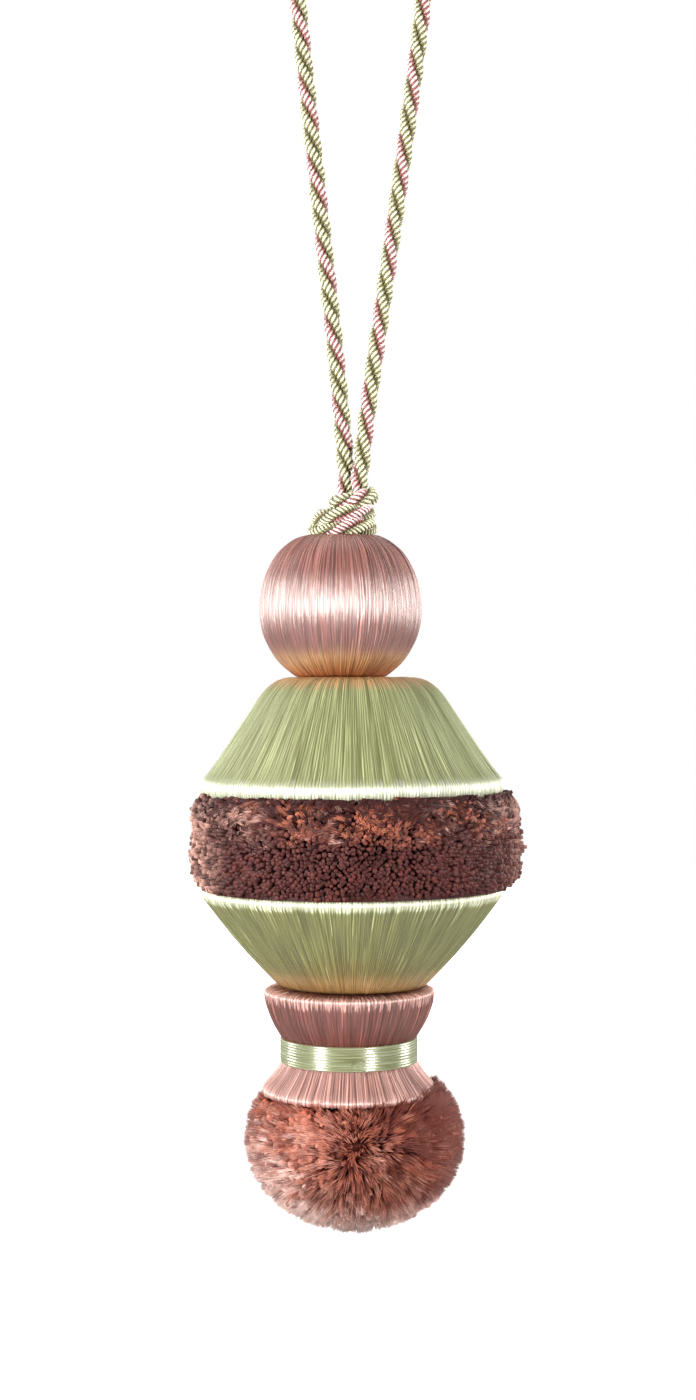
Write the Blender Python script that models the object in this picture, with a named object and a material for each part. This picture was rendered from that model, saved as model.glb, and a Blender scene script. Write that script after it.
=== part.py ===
"""A key tassel: a looped cord, a knot, a wound ball, two wound cones, a pile ruff, a spool and a pompom.

Metres, +Z up. The origin is the inside of the loop's top, where the tassel hangs.
"""
import math
import random

import bmesh
import bpy
from mathutils import Vector

MM = 0.001
GAP = 0.3 * MM

# Heights of the stack, from the inside of the loop's top
CORD_END = -106.4 * MM
BALL_CENTRE = -128.2 * MM
BALL_TOP = -115.4 * MM
BALL_BOTTOM = -140.4 * MM
UPPER_RIM = -161.9 * MM
LOWER_RIM = -179.3 * MM
LOWER_SMALL_END = -195.9 * MM
SPOOL_BOTTOM = -215.3 * MM
POMPOM_CENTRE = -222.7 * MM

# Each piece sits a little to one side of the last, as hand-strung moulds do
BALL_X = -3.5 * MM
CONE_X = -1.4 * MM
RUFF_X = -1.1 * MM
SPOOL_X = -2.0 * MM
POMPOM_X = -1.2 * MM

# The rims of the two cones rise to the right by this slope, and their small ends are level
LEAN = math.tan(math.radians(0.4))

# Cord
CORD_DIAMETER = 3.1 * MM
CORD_LAY = 14.4 * MM
CORD_STEP = 1.3 * MM
CORD_GROOVE = 0.42 * MM
PLIES = 3
SECTION_POINTS = 9

# The cord's centre line, x, y, z in millimetres, from the knot up the left leg and down the right one
CORD_ROUTE = (
    (-2.45, 1.10, -106.4),
    (-2.50, 0.95, -103.3),
    (-3.26, 0.50, -94.3),
    (-4.28, 0.20, -83.5),
    (-5.42, 0.00, -72.7),
    (-6.61, 0.00, -61.9),
    (-7.79, 0.00, -51.1),
    (-8.98, 0.00, -40.3),
    (-10.12, 0.00, -29.5),
    (-11.16, 0.00, -18.7),
    (-11.50, 0.00, -10.0),
    (-9.95, 0.00, -4.25),
    (-5.75, 0.00, 0.00),
    (0.00, 0.00, 1.55),
    (5.85, 0.00, 0.00),
    (10.10, 0.00, -4.25),
    (11.70, 0.00, -10.0),
    (11.36, 0.00, -18.7),
    (10.10, 0.00, -29.5),
    (8.69, 0.00, -40.3),
    (7.22, 0.00, -51.1),
    (5.71, 0.00, -61.9),
    (4.19, 0.00, -72.7),
    (2.77, -0.20, -83.5),
    (1.46, -0.50, -94.3),
    (0.50, -0.95, -103.3),
    (0.15, -1.10, -106.4),
)

# Knot: its core, then each wrap as name, centre x, height, path radius, rise to the right in degrees,
# nod to the front in degrees and turns of the lay
KNOT_X = -2.3 * MM
KNOT_CORE_OUTLINE = (
    (2.9, -106.7),
    (3.7, -108.0),
    (4.1, -110.2),
    (4.7, -112.5),
    (5.4, -114.5),
)
KNOT_WRAPS = (
    ("wrap_top", -1.70 * MM, -109.0 * MM, 3.65 * MM, 9.0, 3.0, 5 / 3),
    ("wrap_middle", -2.70 * MM, -111.4 * MM, 4.25 * MM, 3.0, 3.0, 2.0),
    ("wrap_bottom", -3.10 * MM, -113.5 * MM, 4.90 * MM, 4.0, 0.0, 7 / 3),
)
WRAP_STEPS = 28

# Ball
BALL_RADIUS = 14.55 * MM
BALL_HALF_HEIGHT = 15.4 * MM
BALL_DIMPLE = 0.5 * MM

# Turned outlines as radius and height in millimetres, from the top down
UPPER_CONE_OUTLINE = (
    (9.0, -140.75),
    (13.2, -141.05),
    (16.4, -143.5),
    (21.0, -150.4),
    (25.5, -156.7),
    (27.1, -160.5),
    (26.6, -161.7),
)
LOWER_CONE_OUTLINE = (
    (26.1, -179.5),
    (26.5, -180.7),
    (24.6, -183.1),
    (19.9, -188.7),
    (15.0, -194.0),
    (13.4, -195.5),
)
SPOOL_OUTLINE = (
    (13.7, -196.25),
    (15.0, -197.4),
    (14.8, -199.2),
    (14.1, -201.4),
    (11.9, -204.9),
    (11.0, -207.3),
    (11.9, -209.7),
    (14.8, -213.0),
    (15.6, -214.4),
    (15.3, -215.1),
)
TURN_SEGMENTS = 36
KNOT_SEGMENTS = 24
OUTLINE_STEPS = 2

# Binding: floss wound round the waist in ridges
BINDING_TOP = -205.2 * MM
BINDING_BOTTOM = -209.5 * MM
BINDING_RADIUS = 12.35 * MM
BINDING_GROOVE_RADIUS = 12.0 * MM
BINDING_INNER_RADIUS = 11.35 * MM
BINDING_RIDGES = 4

# Ruff: a backing with rows of locks, each row as tip radius and the tip's shift up, in millimetres
RUFF_BACKING_RADIUS = 24.3 * MM
RUFF_COLUMNS = 34
RUFF_ROWS = (
    (30.0, 0.35),
    (29.7, 0.10),
    (29.3, -0.10),
    (28.9, -0.35),
)
RUFF_LOCK_GAP = 0.35 * MM
RUFF_TIP_SCALE = 1.06

# Pompom: a flat round backing with locks that reach an egg-shaped outline
POMPOM_RADIUS = 20.2 * MM
POMPOM_HALF_HEIGHT = 17.1 * MM
POMPOM_BACKING_RADIUS = 13.6 * MM
POMPOM_BACKING_HALF_HEIGHT = 6.7 * MM
POMPOM_FACE_CUTS = 5
POMPOM_LOCK_GAP = 0.28 * MM
POMPOM_TIP_SCALE = 1.5
POMPOM_TOP_ANGLE = math.radians(24.0)
LOCK_UNEVENNESS = 0.035
LOCK_SEED = 7


def clear_scene():
    """Remove what the new scene holds."""
    for item in list(bpy.data.objects):
        bpy.data.objects.remove(item, do_unlink=True)


def floss_material(name, colour, roughness):
    """A plain coloured fibre."""
    material = bpy.data.materials.new(name)
    material.use_nodes = True
    shader = material.node_tree.nodes["Principled BSDF"]
    shader.inputs["Base Color"].default_value = (*colour, 1.0)
    shader.inputs["Roughness"].default_value = roughness
    shader.inputs["Metallic"].default_value = 0.0
    return material


def add_object(name, shape, material):
    """Turn a bmesh into a smooth-shaded object with its faces pointing out."""
    bmesh.ops.recalc_face_normals(shape, faces=shape.faces)
    mesh = bpy.data.meshes.new(name)
    shape.to_mesh(mesh)
    shape.free()
    mesh.shade_smooth()
    mesh.set_sharp_from_angle(angle=math.radians(40.0))
    mesh.materials.append(material)
    piece = bpy.data.objects.new(name, mesh)
    bpy.context.scene.collection.objects.link(piece)
    return piece


def spline_point(before, start, end, after, share):
    """A point on the smooth curve between start and end."""
    square = share * share
    cube = square * share
    return 0.5 * (
        2.0 * start
        + (end - before) * share
        + (2.0 * before - 5.0 * start + 4.0 * end - after) * square
        + (3.0 * start - before - 3.0 * end + after) * cube
    )


def smooth_curve(points, steps):
    """Points along a smooth curve through the given ones, with this many steps from each to the next."""
    ends = [2.0 * points[0] - points[1], *points, 2.0 * points[-1] - points[-2]]
    curve = []
    for index in range(1, len(ends) - 2):
        for step in range(steps):
            curve.append(spline_point(*ends[index - 1:index + 3], step / steps))
    curve.append(points[-1])
    return curve


def even_steps(curve, step):
    """The same curve with its points an even distance apart, about one step each."""
    lengths = [0.0]
    for start, end in zip(curve, curve[1:]):
        lengths.append(lengths[-1] + (end - start).length)
    count = round(lengths[-1] / step)
    even = []
    place = 0
    for index in range(count + 1):
        target = lengths[-1] * index / count
        while place < len(curve) - 2 and lengths[place + 1] < target:
            place += 1
        span = lengths[place + 1] - lengths[place]
        even.append(curve[place].lerp(curve[place + 1], (target - lengths[place]) / span))
    return even


def lobed_section(shape, centre, forward, across, turn, radius):
    """One ring of the cord's three-lobed section, turned about its centre line."""
    side = forward.cross(across).normalized()
    rise = forward.cross(side)
    ring = []
    for index in range(SECTION_POINTS):
        angle = turn + math.tau * index / SECTION_POINTS
        in_groove = index % (SECTION_POINTS // PLIES) == 0
        reach = radius - CORD_GROOVE if in_groove else radius
        ring.append(shape.verts.new(centre + (side * math.cos(angle) + rise * math.sin(angle)) * reach))
    return ring


def bridge(shape, first, second, shift=0):
    """Join two rings of points with faces."""
    count = len(first)
    for index in range(count):
        after = (index + 1) % count
        shape.faces.new((
            first[index],
            first[after],
            second[(after + shift) % count],
            second[(index + shift) % count],
        ))


def make_cord(material):
    """The loop of three-ply cord."""
    route = [Vector(point) * MM for point in CORD_ROUTE]
    centres = even_steps(smooth_curve(route, 12), CORD_STEP)
    shape = bmesh.new()
    rings = []
    length = 0.0
    for index, centre in enumerate(centres):
        before = centres[max(index - 1, 0)]
        after = centres[min(index + 1, len(centres) - 1)]
        if index > 0:
            length += (centre - before).length
        forward = (after - before).normalized()
        if index in (0, len(centres) - 1):
            forward.x = 0.0
            forward.y = 0.0
            forward.normalize()
        turn = -math.tau * length / CORD_LAY
        rings.append(lobed_section(shape, centre, forward, Vector((0, 1, 0)), turn, CORD_DIAMETER / 2))
    for first, second in zip(rings, rings[1:]):
        bridge(shape, first, second)
    shape.faces.new(rings[0])
    shape.faces.new(rings[-1])
    return add_object("hanging_cord", shape, material)


def make_wrap(name, x, height, radius, rise, nod, turns):
    """One closed wrap of cord round the knot's core, kept as a guide for the knot."""
    normal = Vector((-math.sin(math.radians(rise)), -math.sin(math.radians(nod)), 1.0)).normalized()
    right = Vector((1, 0, 0))
    right = (right - normal * right.dot(normal)).normalized()
    back = normal.cross(right)
    centre = Vector((x, 0, height))
    shape = bmesh.new()
    rings = []
    for step in range(WRAP_STEPS):
        angle = math.tau * step / WRAP_STEPS
        outward = right * math.cos(angle) + back * math.sin(angle)
        forward = back * math.cos(angle) - right * math.sin(angle)
        turn = -turns * angle
        rings.append(lobed_section(shape, centre + outward * radius, forward, normal, turn, CORD_DIAMETER / 2))
    for first, second in zip(rings, rings[1:]):
        bridge(shape, first, second)
    points_turned = round(turns * SECTION_POINTS) % SECTION_POINTS
    bridge(shape, rings[-1], rings[0], -points_turned)
    return add_object(name, shape, bpy.data.materials["knot_cord"])


def outer_skin(piece):
    """The piece as its modifiers leave it, without the pockets shut in between its parts."""
    evaluated = piece.evaluated_get(bpy.context.evaluated_depsgraph_get())
    shape = bmesh.new()
    shape.from_mesh(evaluated.to_mesh())
    evaluated.to_mesh_clear()
    groups = []
    unseen = set(shape.verts)
    while unseen:
        group = {unseen.pop()}
        edge_points = list(group)
        while edge_points:
            point = edge_points.pop()
            for edge in point.link_edges:
                other = edge.other_vert(point)
                if other in unseen:
                    unseen.remove(other)
                    group.add(other)
                    edge_points.append(other)
        groups.append(group)
    groups.sort(key=len)
    for group in groups[:-1]:
        bmesh.ops.delete(shape, geom=list(group), context="VERTS")
    return shape


def make_knot(material):
    """The wraps of cord round the loop's foot, joined to one core."""
    foot = BALL_TOP + GAP
    core = [(radius * MM, height * MM) for radius, height in KNOT_CORE_OUTLINE]
    outline = [(0.0, core[0][1]), *core, (core[-1][0], foot), (0.0, foot)]
    guides = [add_turned("core", outline, material, KNOT_X, KNOT_SEGMENTS)]
    for wrap in KNOT_WRAPS:
        guides.append(make_wrap(*wrap))
        union = guides[0].modifiers.new(wrap[0], "BOOLEAN")
        union.operation = "UNION"
        union.solver = "EXACT"
        union.object = guides[-1]
    bpy.context.view_layer.update()
    shape = outer_skin(guides[0])
    for guide in guides:
        bpy.data.objects.remove(guide, do_unlink=True)
    return add_object("cord_knot", shape, material)


def turn_outline(outline, segments=TURN_SEGMENTS):
    """A turned solid, from an outline of radius and height that starts and ends on the axis."""
    shape = bmesh.new()
    points = [shape.verts.new((radius, 0, height)) for radius, height in outline]
    edges = [shape.edges.new(pair) for pair in zip(points, points[1:])]
    bmesh.ops.spin(
        shape,
        geom=points + edges,
        cent=(0, 0, 0),
        axis=(0, 0, 1),
        angle=math.tau,
        steps=segments,
        use_merge=True,
    )
    bmesh.ops.remove_doubles(shape, verts=shape.verts, dist=1e-6)
    return shape


def shift(shape, x):
    """Move a shape sideways."""
    bmesh.ops.translate(shape, verts=shape.verts, vec=(x, 0, 0))


def add_turned(name, outline, material, x, segments=TURN_SEGMENTS):
    """A turned piece on its own upright axis."""
    shape = turn_outline(outline, segments)
    shift(shape, x)
    return add_object(name, shape, material)


def closed_outline(rows, top, bottom):
    """A smooth outline through rows of radius and height in millimetres, closed onto the axis at both ends."""
    points = [Vector((radius * MM, height * MM)) for radius, height in rows]
    curve = [tuple(point) for point in smooth_curve(points, OUTLINE_STEPS)]
    return [(0.0, top), *curve, (0.0, bottom)]


def lean_rim(shape, small_end, rim):
    """Raise the right side of the rim, and leave the small end level."""
    for point in shape.verts:
        share = (small_end - point.co.z) / (small_end - rim)
        point.co.z += point.co.x * LEAN * min(max(share, 0.0), 1.0)


def make_ball(material):
    """The ball, flattened where the knot and the upper cone meet it."""
    top_angle = math.acos((BALL_TOP - BALL_CENTRE) / BALL_HALF_HEIGHT)
    bottom_angle = math.acos((BALL_BOTTOM - BALL_CENTRE) / BALL_HALF_HEIGHT)
    rows = 12
    outline = [(0.0, BALL_TOP - BALL_DIMPLE)]
    for row in range(rows + 1):
        angle = top_angle + (bottom_angle - top_angle) * row / rows
        outline.append((BALL_RADIUS * math.sin(angle), BALL_CENTRE + BALL_HALF_HEIGHT * math.cos(angle)))
    outline.append((0.0, BALL_BOTTOM))
    return add_turned("head_ball", outline, material, BALL_X)


def make_upper_cone(material):
    """The upper cone, wide end down."""
    top = UPPER_CONE_OUTLINE[0][1] * MM
    shape = turn_outline(closed_outline(UPPER_CONE_OUTLINE, top, UPPER_RIM))
    lean_rim(shape, top, UPPER_RIM)
    shift(shape, CONE_X)
    return add_object("upper_cone", shape, material)


def make_lower_cone(material):
    """The lower cone, wide end up."""
    shape = turn_outline(closed_outline(LOWER_CONE_OUTLINE, LOWER_RIM, LOWER_SMALL_END))
    lean_rim(shape, LOWER_SMALL_END, LOWER_RIM)
    shift(shape, CONE_X)
    return add_object("lower_cone", shape, material)


def make_spool(material):
    """The waisted spool."""
    top = LOWER_SMALL_END - GAP
    return add_turned("spool", closed_outline(SPOOL_OUTLINE, top, SPOOL_BOTTOM), material, SPOOL_X)


def make_binding(material):
    """A ridged ring of wound floss round the spool's waist."""
    ridge_height = (BINDING_TOP - BINDING_BOTTOM) / BINDING_RIDGES
    outline = [(BINDING_GROOVE_RADIUS, BINDING_TOP)]
    for ridge in range(BINDING_RIDGES):
        crest = BINDING_TOP - (ridge + 0.5) * ridge_height
        outline.append((BINDING_RADIUS, crest))
        outline.append((BINDING_GROOVE_RADIUS, crest - ridge_height / 2))
    outline.append((BINDING_INNER_RADIUS, (BINDING_TOP + BINDING_BOTTOM) / 2))
    outline.append(outline[0])
    shape = turn_outline(outline)
    shift(shape, SPOOL_X)
    return add_object("waist_binding", shape, material)


def grow_lock(shape, face, gap, tip_centre, tip_scale):
    """Raise one four-sided lock from a face, a gap in from the face's edges."""
    bmesh.ops.inset_individual(shape, faces=[face], thickness=gap, use_even_offset=True)
    tip = bmesh.ops.extrude_discrete_faces(shape, faces=[face])["faces"][0]
    root_centre = tip.calc_center_median()
    for point in tip.verts:
        point.co = tip_centre + (point.co - root_centre) * tip_scale


def make_ruff(material):
    """A round backing with rows of locks of cut pile all round."""
    top = UPPER_RIM - GAP
    bottom = LOWER_RIM + GAP
    row_count = len(RUFF_ROWS)
    outline = [(0.0, top)]
    for row in range(row_count + 1):
        outline.append((RUFF_BACKING_RADIUS, top + (bottom - top) * row / row_count))
    outline.append((0.0, bottom))
    shape = turn_outline(outline, RUFF_COLUMNS)
    uneven = random.Random(LOCK_SEED)
    wall = [face for face in shape.faces if abs(face.normal.z) < 0.5]
    wall.sort(key=face_order)
    for face in wall:
        centre = face.calc_center_median()
        row = int((top - centre.z) / (top - bottom) * row_count)
        radius, rise = RUFF_ROWS[row]
        reach = radius * MM * (1.0 + uneven.uniform(-LOCK_UNEVENNESS, LOCK_UNEVENNESS) / 2)
        outward = Vector((centre.x, centre.y, 0)).normalized()
        tip = outward * reach + Vector((0, 0, centre.z + rise * MM))
        grow_lock(shape, face, RUFF_LOCK_GAP, tip, RUFF_TIP_SCALE)
    for point in shape.verts:
        point.co.z += point.co.x * LEAN
    shift(shape, RUFF_X)
    return add_object("pile_ruff", shape, material)


def face_order(face):
    """Sort faces from the top down and then round the axis."""
    centre = face.calc_center_median()
    return (round(-centre.z, 5), round(math.atan2(centre.y, centre.x), 4))


def make_pompom(material):
    """A round backing with locks of cut pile in every direction but up, where the spool sits."""
    shape = bmesh.new()
    bmesh.ops.create_cube(shape, size=2.0)
    bmesh.ops.subdivide_edges(shape, edges=shape.edges, cuts=POMPOM_FACE_CUTS, use_grid_fill=True)
    for point in shape.verts:
        evened = Vector([math.tan(value * math.pi / 4) for value in point.co])
        point.co = evened.normalized()
    shape.normal_update()
    backing = Vector((POMPOM_BACKING_RADIUS, POMPOM_BACKING_RADIUS, POMPOM_BACKING_HALF_HEIGHT))
    outside = Vector((POMPOM_RADIUS, POMPOM_RADIUS, POMPOM_HALF_HEIGHT))
    directions = []
    faces = sorted(shape.faces, key=face_order)
    for face in faces:
        directions.append(face.calc_center_median().normalized())
    for point in shape.verts:
        point.co = point.co * backing
    uneven = random.Random(LOCK_SEED)
    for face, direction in zip(faces, directions):
        stretch = 1.0 + uneven.uniform(-LOCK_UNEVENNESS, LOCK_UNEVENNESS)
        if math.asin(direction.z) > POMPOM_TOP_ANGLE:
            continue
        grow_lock(shape, face, POMPOM_LOCK_GAP, direction * outside * stretch, POMPOM_TIP_SCALE)
    bmesh.ops.translate(shape, verts=shape.verts, vec=(POMPOM_X, 0, POMPOM_CENTRE))
    return add_object("pompom", shape, material)


def main():
    """Make every piece of the tassel."""
    clear_scene()
    cord = floss_material("twisted_cord", (0.62, 0.60, 0.33), 0.5)
    knot = floss_material("knot_cord", (0.58, 0.50, 0.30), 0.5)
    pink = floss_material("pink_floss", (0.62, 0.34, 0.29), 0.35)
    green = floss_material("green_floss", (0.44, 0.50, 0.28), 0.35)
    pale = floss_material("binding_floss", (0.45, 0.52, 0.33), 0.35)
    dark_pile = floss_material("ruff_pile", (0.20, 0.08, 0.07), 0.8)
    light_pile = floss_material("pompom_pile", (0.50, 0.20, 0.15), 0.8)
    make_cord(cord)
    make_knot(knot)
    make_ball(pink)
    make_upper_cone(green)
    make_ruff(dark_pile)
    make_lower_cone(green)
    make_spool(floss_material("spool_floss", (0.55, 0.28, 0.24), 0.35))
    make_binding(pale)
    make_pompom(light_pile)


if __name__ == "__main__":
    main()
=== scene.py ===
"""A key tassel in floss, cut pile and twisted cord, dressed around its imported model."""
import math

import bmesh
import bpy
import numpy as np
from bpy.props import FloatProperty, FloatVectorProperty, IntProperty, PointerProperty
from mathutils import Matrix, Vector, noise


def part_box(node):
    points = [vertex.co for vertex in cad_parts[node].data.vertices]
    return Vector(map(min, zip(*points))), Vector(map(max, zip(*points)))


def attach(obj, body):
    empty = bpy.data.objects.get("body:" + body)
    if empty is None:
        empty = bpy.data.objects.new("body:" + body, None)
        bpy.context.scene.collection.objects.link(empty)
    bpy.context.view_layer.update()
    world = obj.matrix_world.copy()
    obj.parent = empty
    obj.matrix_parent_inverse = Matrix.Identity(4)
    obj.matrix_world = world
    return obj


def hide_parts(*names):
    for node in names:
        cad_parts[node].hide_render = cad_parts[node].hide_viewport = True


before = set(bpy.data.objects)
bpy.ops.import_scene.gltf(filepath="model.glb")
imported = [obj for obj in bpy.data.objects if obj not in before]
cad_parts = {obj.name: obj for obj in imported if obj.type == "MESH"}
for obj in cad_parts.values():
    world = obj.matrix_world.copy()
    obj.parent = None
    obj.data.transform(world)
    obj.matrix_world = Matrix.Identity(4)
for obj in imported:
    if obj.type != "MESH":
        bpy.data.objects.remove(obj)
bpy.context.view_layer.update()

bl_info = {
    "name": "Key Tassel",
    "version": (1, 0, 0),
    "blender": (4, 5, 0),
    "location": "View3D > Sidebar > Tassel",
    "description": "Dresses a key tassel in floss, cut pile and twisted cord",
    "category": "Object",
}

MM = 0.001

# The camera stands level, in front of the middle of the photograph's frame
CAMERA_PLACE = (-2.16 * MM, -370.0 * MM, -144.7 * MM)
CAMERA_LENS = 52.9

# The room's light from the front, from the pale wall behind, and the share of it that is left from
# below, and how much light the floor gives back
FRONT_LIGHT = 0.2
BACK_LIGHT = 1.3
LOW_SHARE = 0.15
FLOOR_BOUNCE = 0.36
FLOOR_HEIGHT = -420.0 * MM

# The soft lights: degrees right of the camera and above the tassel's middle, width and height in
# metres, and watts
KEYS = (
    (-48.0, 6.0, (0.12, 0.30), 8.8),
    (37.0, 6.0, (0.10, 0.30), 5.8),
    (110.0, 6.0, (0.24, 0.30), 3.2),
    (-112.0, 7.0, (0.24, 0.34), 2.2),
    (-114.0, 36.0, (0.24, 0.24), 0.4),
)
KEY_DISTANCE = 0.72

# Shades of floss against its plain colour: the dark threads of a tint, the painted shade in the gaps and
# the painted glints, and the share that the painted glints show
TINT_SHADE = 0.36
GAP_SHADE = 0.4
GLINT_SHADE = 1.9
GLINT_SHARE = 0.6

# The cord's yarns, and the steps of its route, of a wrap of the knot and of a leg inside the knot
YARNS_IN_A_PLY = 3
WRAP_STEPS = 144
ROUTE_STEP = 0.24 * MM
LEG_STEPS = 25
LEG_IN_KNOT = 6.5 * MM

# A ply's radius against the cord's diameter, and the depth of its grooves against its own radius
PLY_SHARE = 0.255
GROOVE_SHARE = 0.36

# Heights of the points across one thread of floss, and the points across one turn of the binding and
# round it
CREST = (0.0, 0.72, 1.0, 0.72)
TURN_ROWS = 5
BINDING_COLUMNS = 180

# How many yarn ends and tufts the pile has. The ruff's yarn ends follow from their width
FIBRES_IN_A_TUFT = 12
RUFF_TUFTS = 3100
POMPOM_ENDS = 3000
POMPOM_TUFTS = 4300
NOISE_SEED = 4

# Rows of yarn ends stand this much closer than the ends in a row
ROW_SHARE = 0.866
RUFF_RADIUS = 29.1 * MM
POMPOM_REACH = (20.4 * MM, 20.2 * MM, 17.0 * MM)
POMPOM_CORE = 0.82
NOISE_RADIUS = 20.0 * MM

# The pile keeps this far from the spool's axis beside it, and doesn't start above this upward way
SPOOL_CLEARANCE = 16.4 * MM
HIGHEST_WAY = 0.62

# Way from the pompom's middle to the place where its fibres part
POMPOM_CROWN = (0.15, -1.0, -0.02)

# The cord's centre line, x, y, z in millimetres, from the knot up the left leg and down the right one
CORD_ROUTE = (
    (-2.45, 1.10, -106.4), (-2.50, 0.95, -103.3), (-3.26, 0.50, -94.3), (-4.28, 0.20, -83.5),
    (-5.42, 0.00, -72.7), (-6.61, 0.00, -61.9), (-7.79, 0.00, -51.1), (-8.98, 0.00, -40.3),
    (-10.12, 0.00, -29.5), (-11.16, 0.00, -18.7), (-11.50, 0.00, -10.0), (-9.95, 0.00, -4.25),
    (-5.75, 0.00, 0.00), (0.00, 0.00, 1.55), (5.85, 0.00, 0.00), (10.10, 0.00, -4.25),
    (11.70, 0.00, -10.0), (11.36, 0.00, -18.7), (10.10, 0.00, -29.5), (8.69, 0.00, -40.3),
    (7.22, 0.00, -51.1), (5.71, 0.00, -61.9), (4.19, 0.00, -72.7), (2.65, -0.20, -83.5),
    (1.20, -0.50, -94.3), (0.15, -0.95, -103.3), (-0.10, -1.10, -106.4),
)

# The cord's length, and how many turns the pink ply has made, against the share of that length. The
# plies turn once in 14.6 mm on the left leg and once in 15.1 mm on the right one
CORD_LENGTH = 230.3 * MM
PINK_TURNS = (
    (-0.05, 0.82), (0.0, 0.03), (0.3995, -6.296), (0.6092, -9.664), (1.0, -15.624), (1.05, -16.387),
)

# Wraps of the knot: centre x, height and path radius in millimetres, rise to the right and nod to
# the front in degrees, the place round the wrap where the pink ply is in front, in turns, and how
# often the plies turn round in one wrap
KNOT_WRAPS = (
    (-1.2, -108.9, 3.2, 18.0, 3.0, -0.03, 2),
    (-3.0, -111.5, 4.3, 6.0, 5.0, 0.19, 2),
    (-3.2, -114.1, 4.9, 7.0, 3.5, -0.05, 2),
)

# Outlines of the moulds as radius and depth below the mould's top, in millimetres
BALL_OUTLINE = (
    (4.0, -0.1), (6.6, -0.1), (8.2, 0.4), (9.7, 1.4), (11.3, 2.9), (12.6, 4.9), (13.8, 7.8),
    (14.5, 11.6), (14.5, 14.6), (14.0, 17.2), (13.2, 19.2), (12.0, 21.3), (10.8, 22.8), (9.3, 24.1),
    (7.8, 25.1), (5.0, 25.6),
)
UPPER_CONE_OUTLINE = (
    (6.0, 0.3), (9.4, -0.1), (12.0, 0.0), (14.2, 0.9), (16.3, 2.9), (18.4, 6.0), (21.4, 10.5),
    (24.5, 15.1), (26.2, 17.35), (26.75, 17.9), (27.0, 18.4), (27.12, 19.0), (27.15, 19.6),
    (27.1, 20.2), (26.9, 20.75), (26.5, 21.1), (25.2, 21.6),
)
LOWER_CONE_OUTLINE = (
    (24.8, -1.7), (26.0, -1.4), (26.6, -0.9), (26.85, -0.3), (26.87, 0.2), (26.75, 0.65),
    (26.3, 1.25), (24.84, 3.2), (22.05, 6.8), (19.0, 10.4), (15.66, 14.0), (13.9, 15.8), (12.8, 16.5),
    (9.0, 17.2),
)
SPOOL_OUTLINE = (
    (7.0, -0.3), (12.2, -0.15), (14.2, 0.2), (14.98, 0.55), (15.12, 1.0), (15.06, 1.6), (14.75, 3.1),
    (13.8, 5.7), (12.5, 8.0), (11.6, 9.4), (11.1, 11.1), (11.7, 12.9), (13.1, 15.0), (14.7, 16.9),
    (15.35, 17.7), (15.6, 18.4), (15.2, 19.0), (13.0, 19.2),
)
LEAN = math.tan(math.radians(0.4))
UPPER_CONE_HEIGHT = 21.2
LOWER_CONE_HEIGHT = 16.6


def colour(red, green, blue):
    """A display colour from 0 to 255 as the linear colour that shaders take."""
    channels = []
    for value in (red, green, blue):
        share = value / 255.0
        channels.append(share / 12.92 if share <= 0.04045 else ((share + 0.055) / 1.055) ** 2.4)
    return tuple(channels)


def length_setting(name, description, default):
    """A property for a length."""
    return FloatProperty(
        name=name, description=description, default=default, subtype="DISTANCE", unit="LENGTH"
    )


def colour_setting(name, description, default):
    """A property for a colour."""
    return FloatVectorProperty(name=name, description=description, default=default, subtype="COLOR")


class TasselSizes(bpy.types.PropertyGroup):
    """Sizes of the yarns and threads."""

    cord_diameter: length_setting("Cord diameter", "Outer diameter of the three-ply cord", 3.45 * MM)
    yarn_lay: length_setting("Yarn lay", "Length of one full turn of the yarns in a ply", 2.3 * MM)
    thread_width: length_setting(
        "Thread width", "Width of one laid thread of floss at a mould's widest place", 0.55 * MM
    )
    thread_height: length_setting(
        "Thread height", "How far a thread's crest stands over the grooves beside it", 0.13 * MM
    )
    pile_width: length_setting("Pile width", "Width of one cut yarn end of the pile", 0.88 * MM)
    binding_turns: IntProperty(
        name="Binding turns", description="Turns of thread round the spool's waist", default=9, min=3
    )


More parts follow.
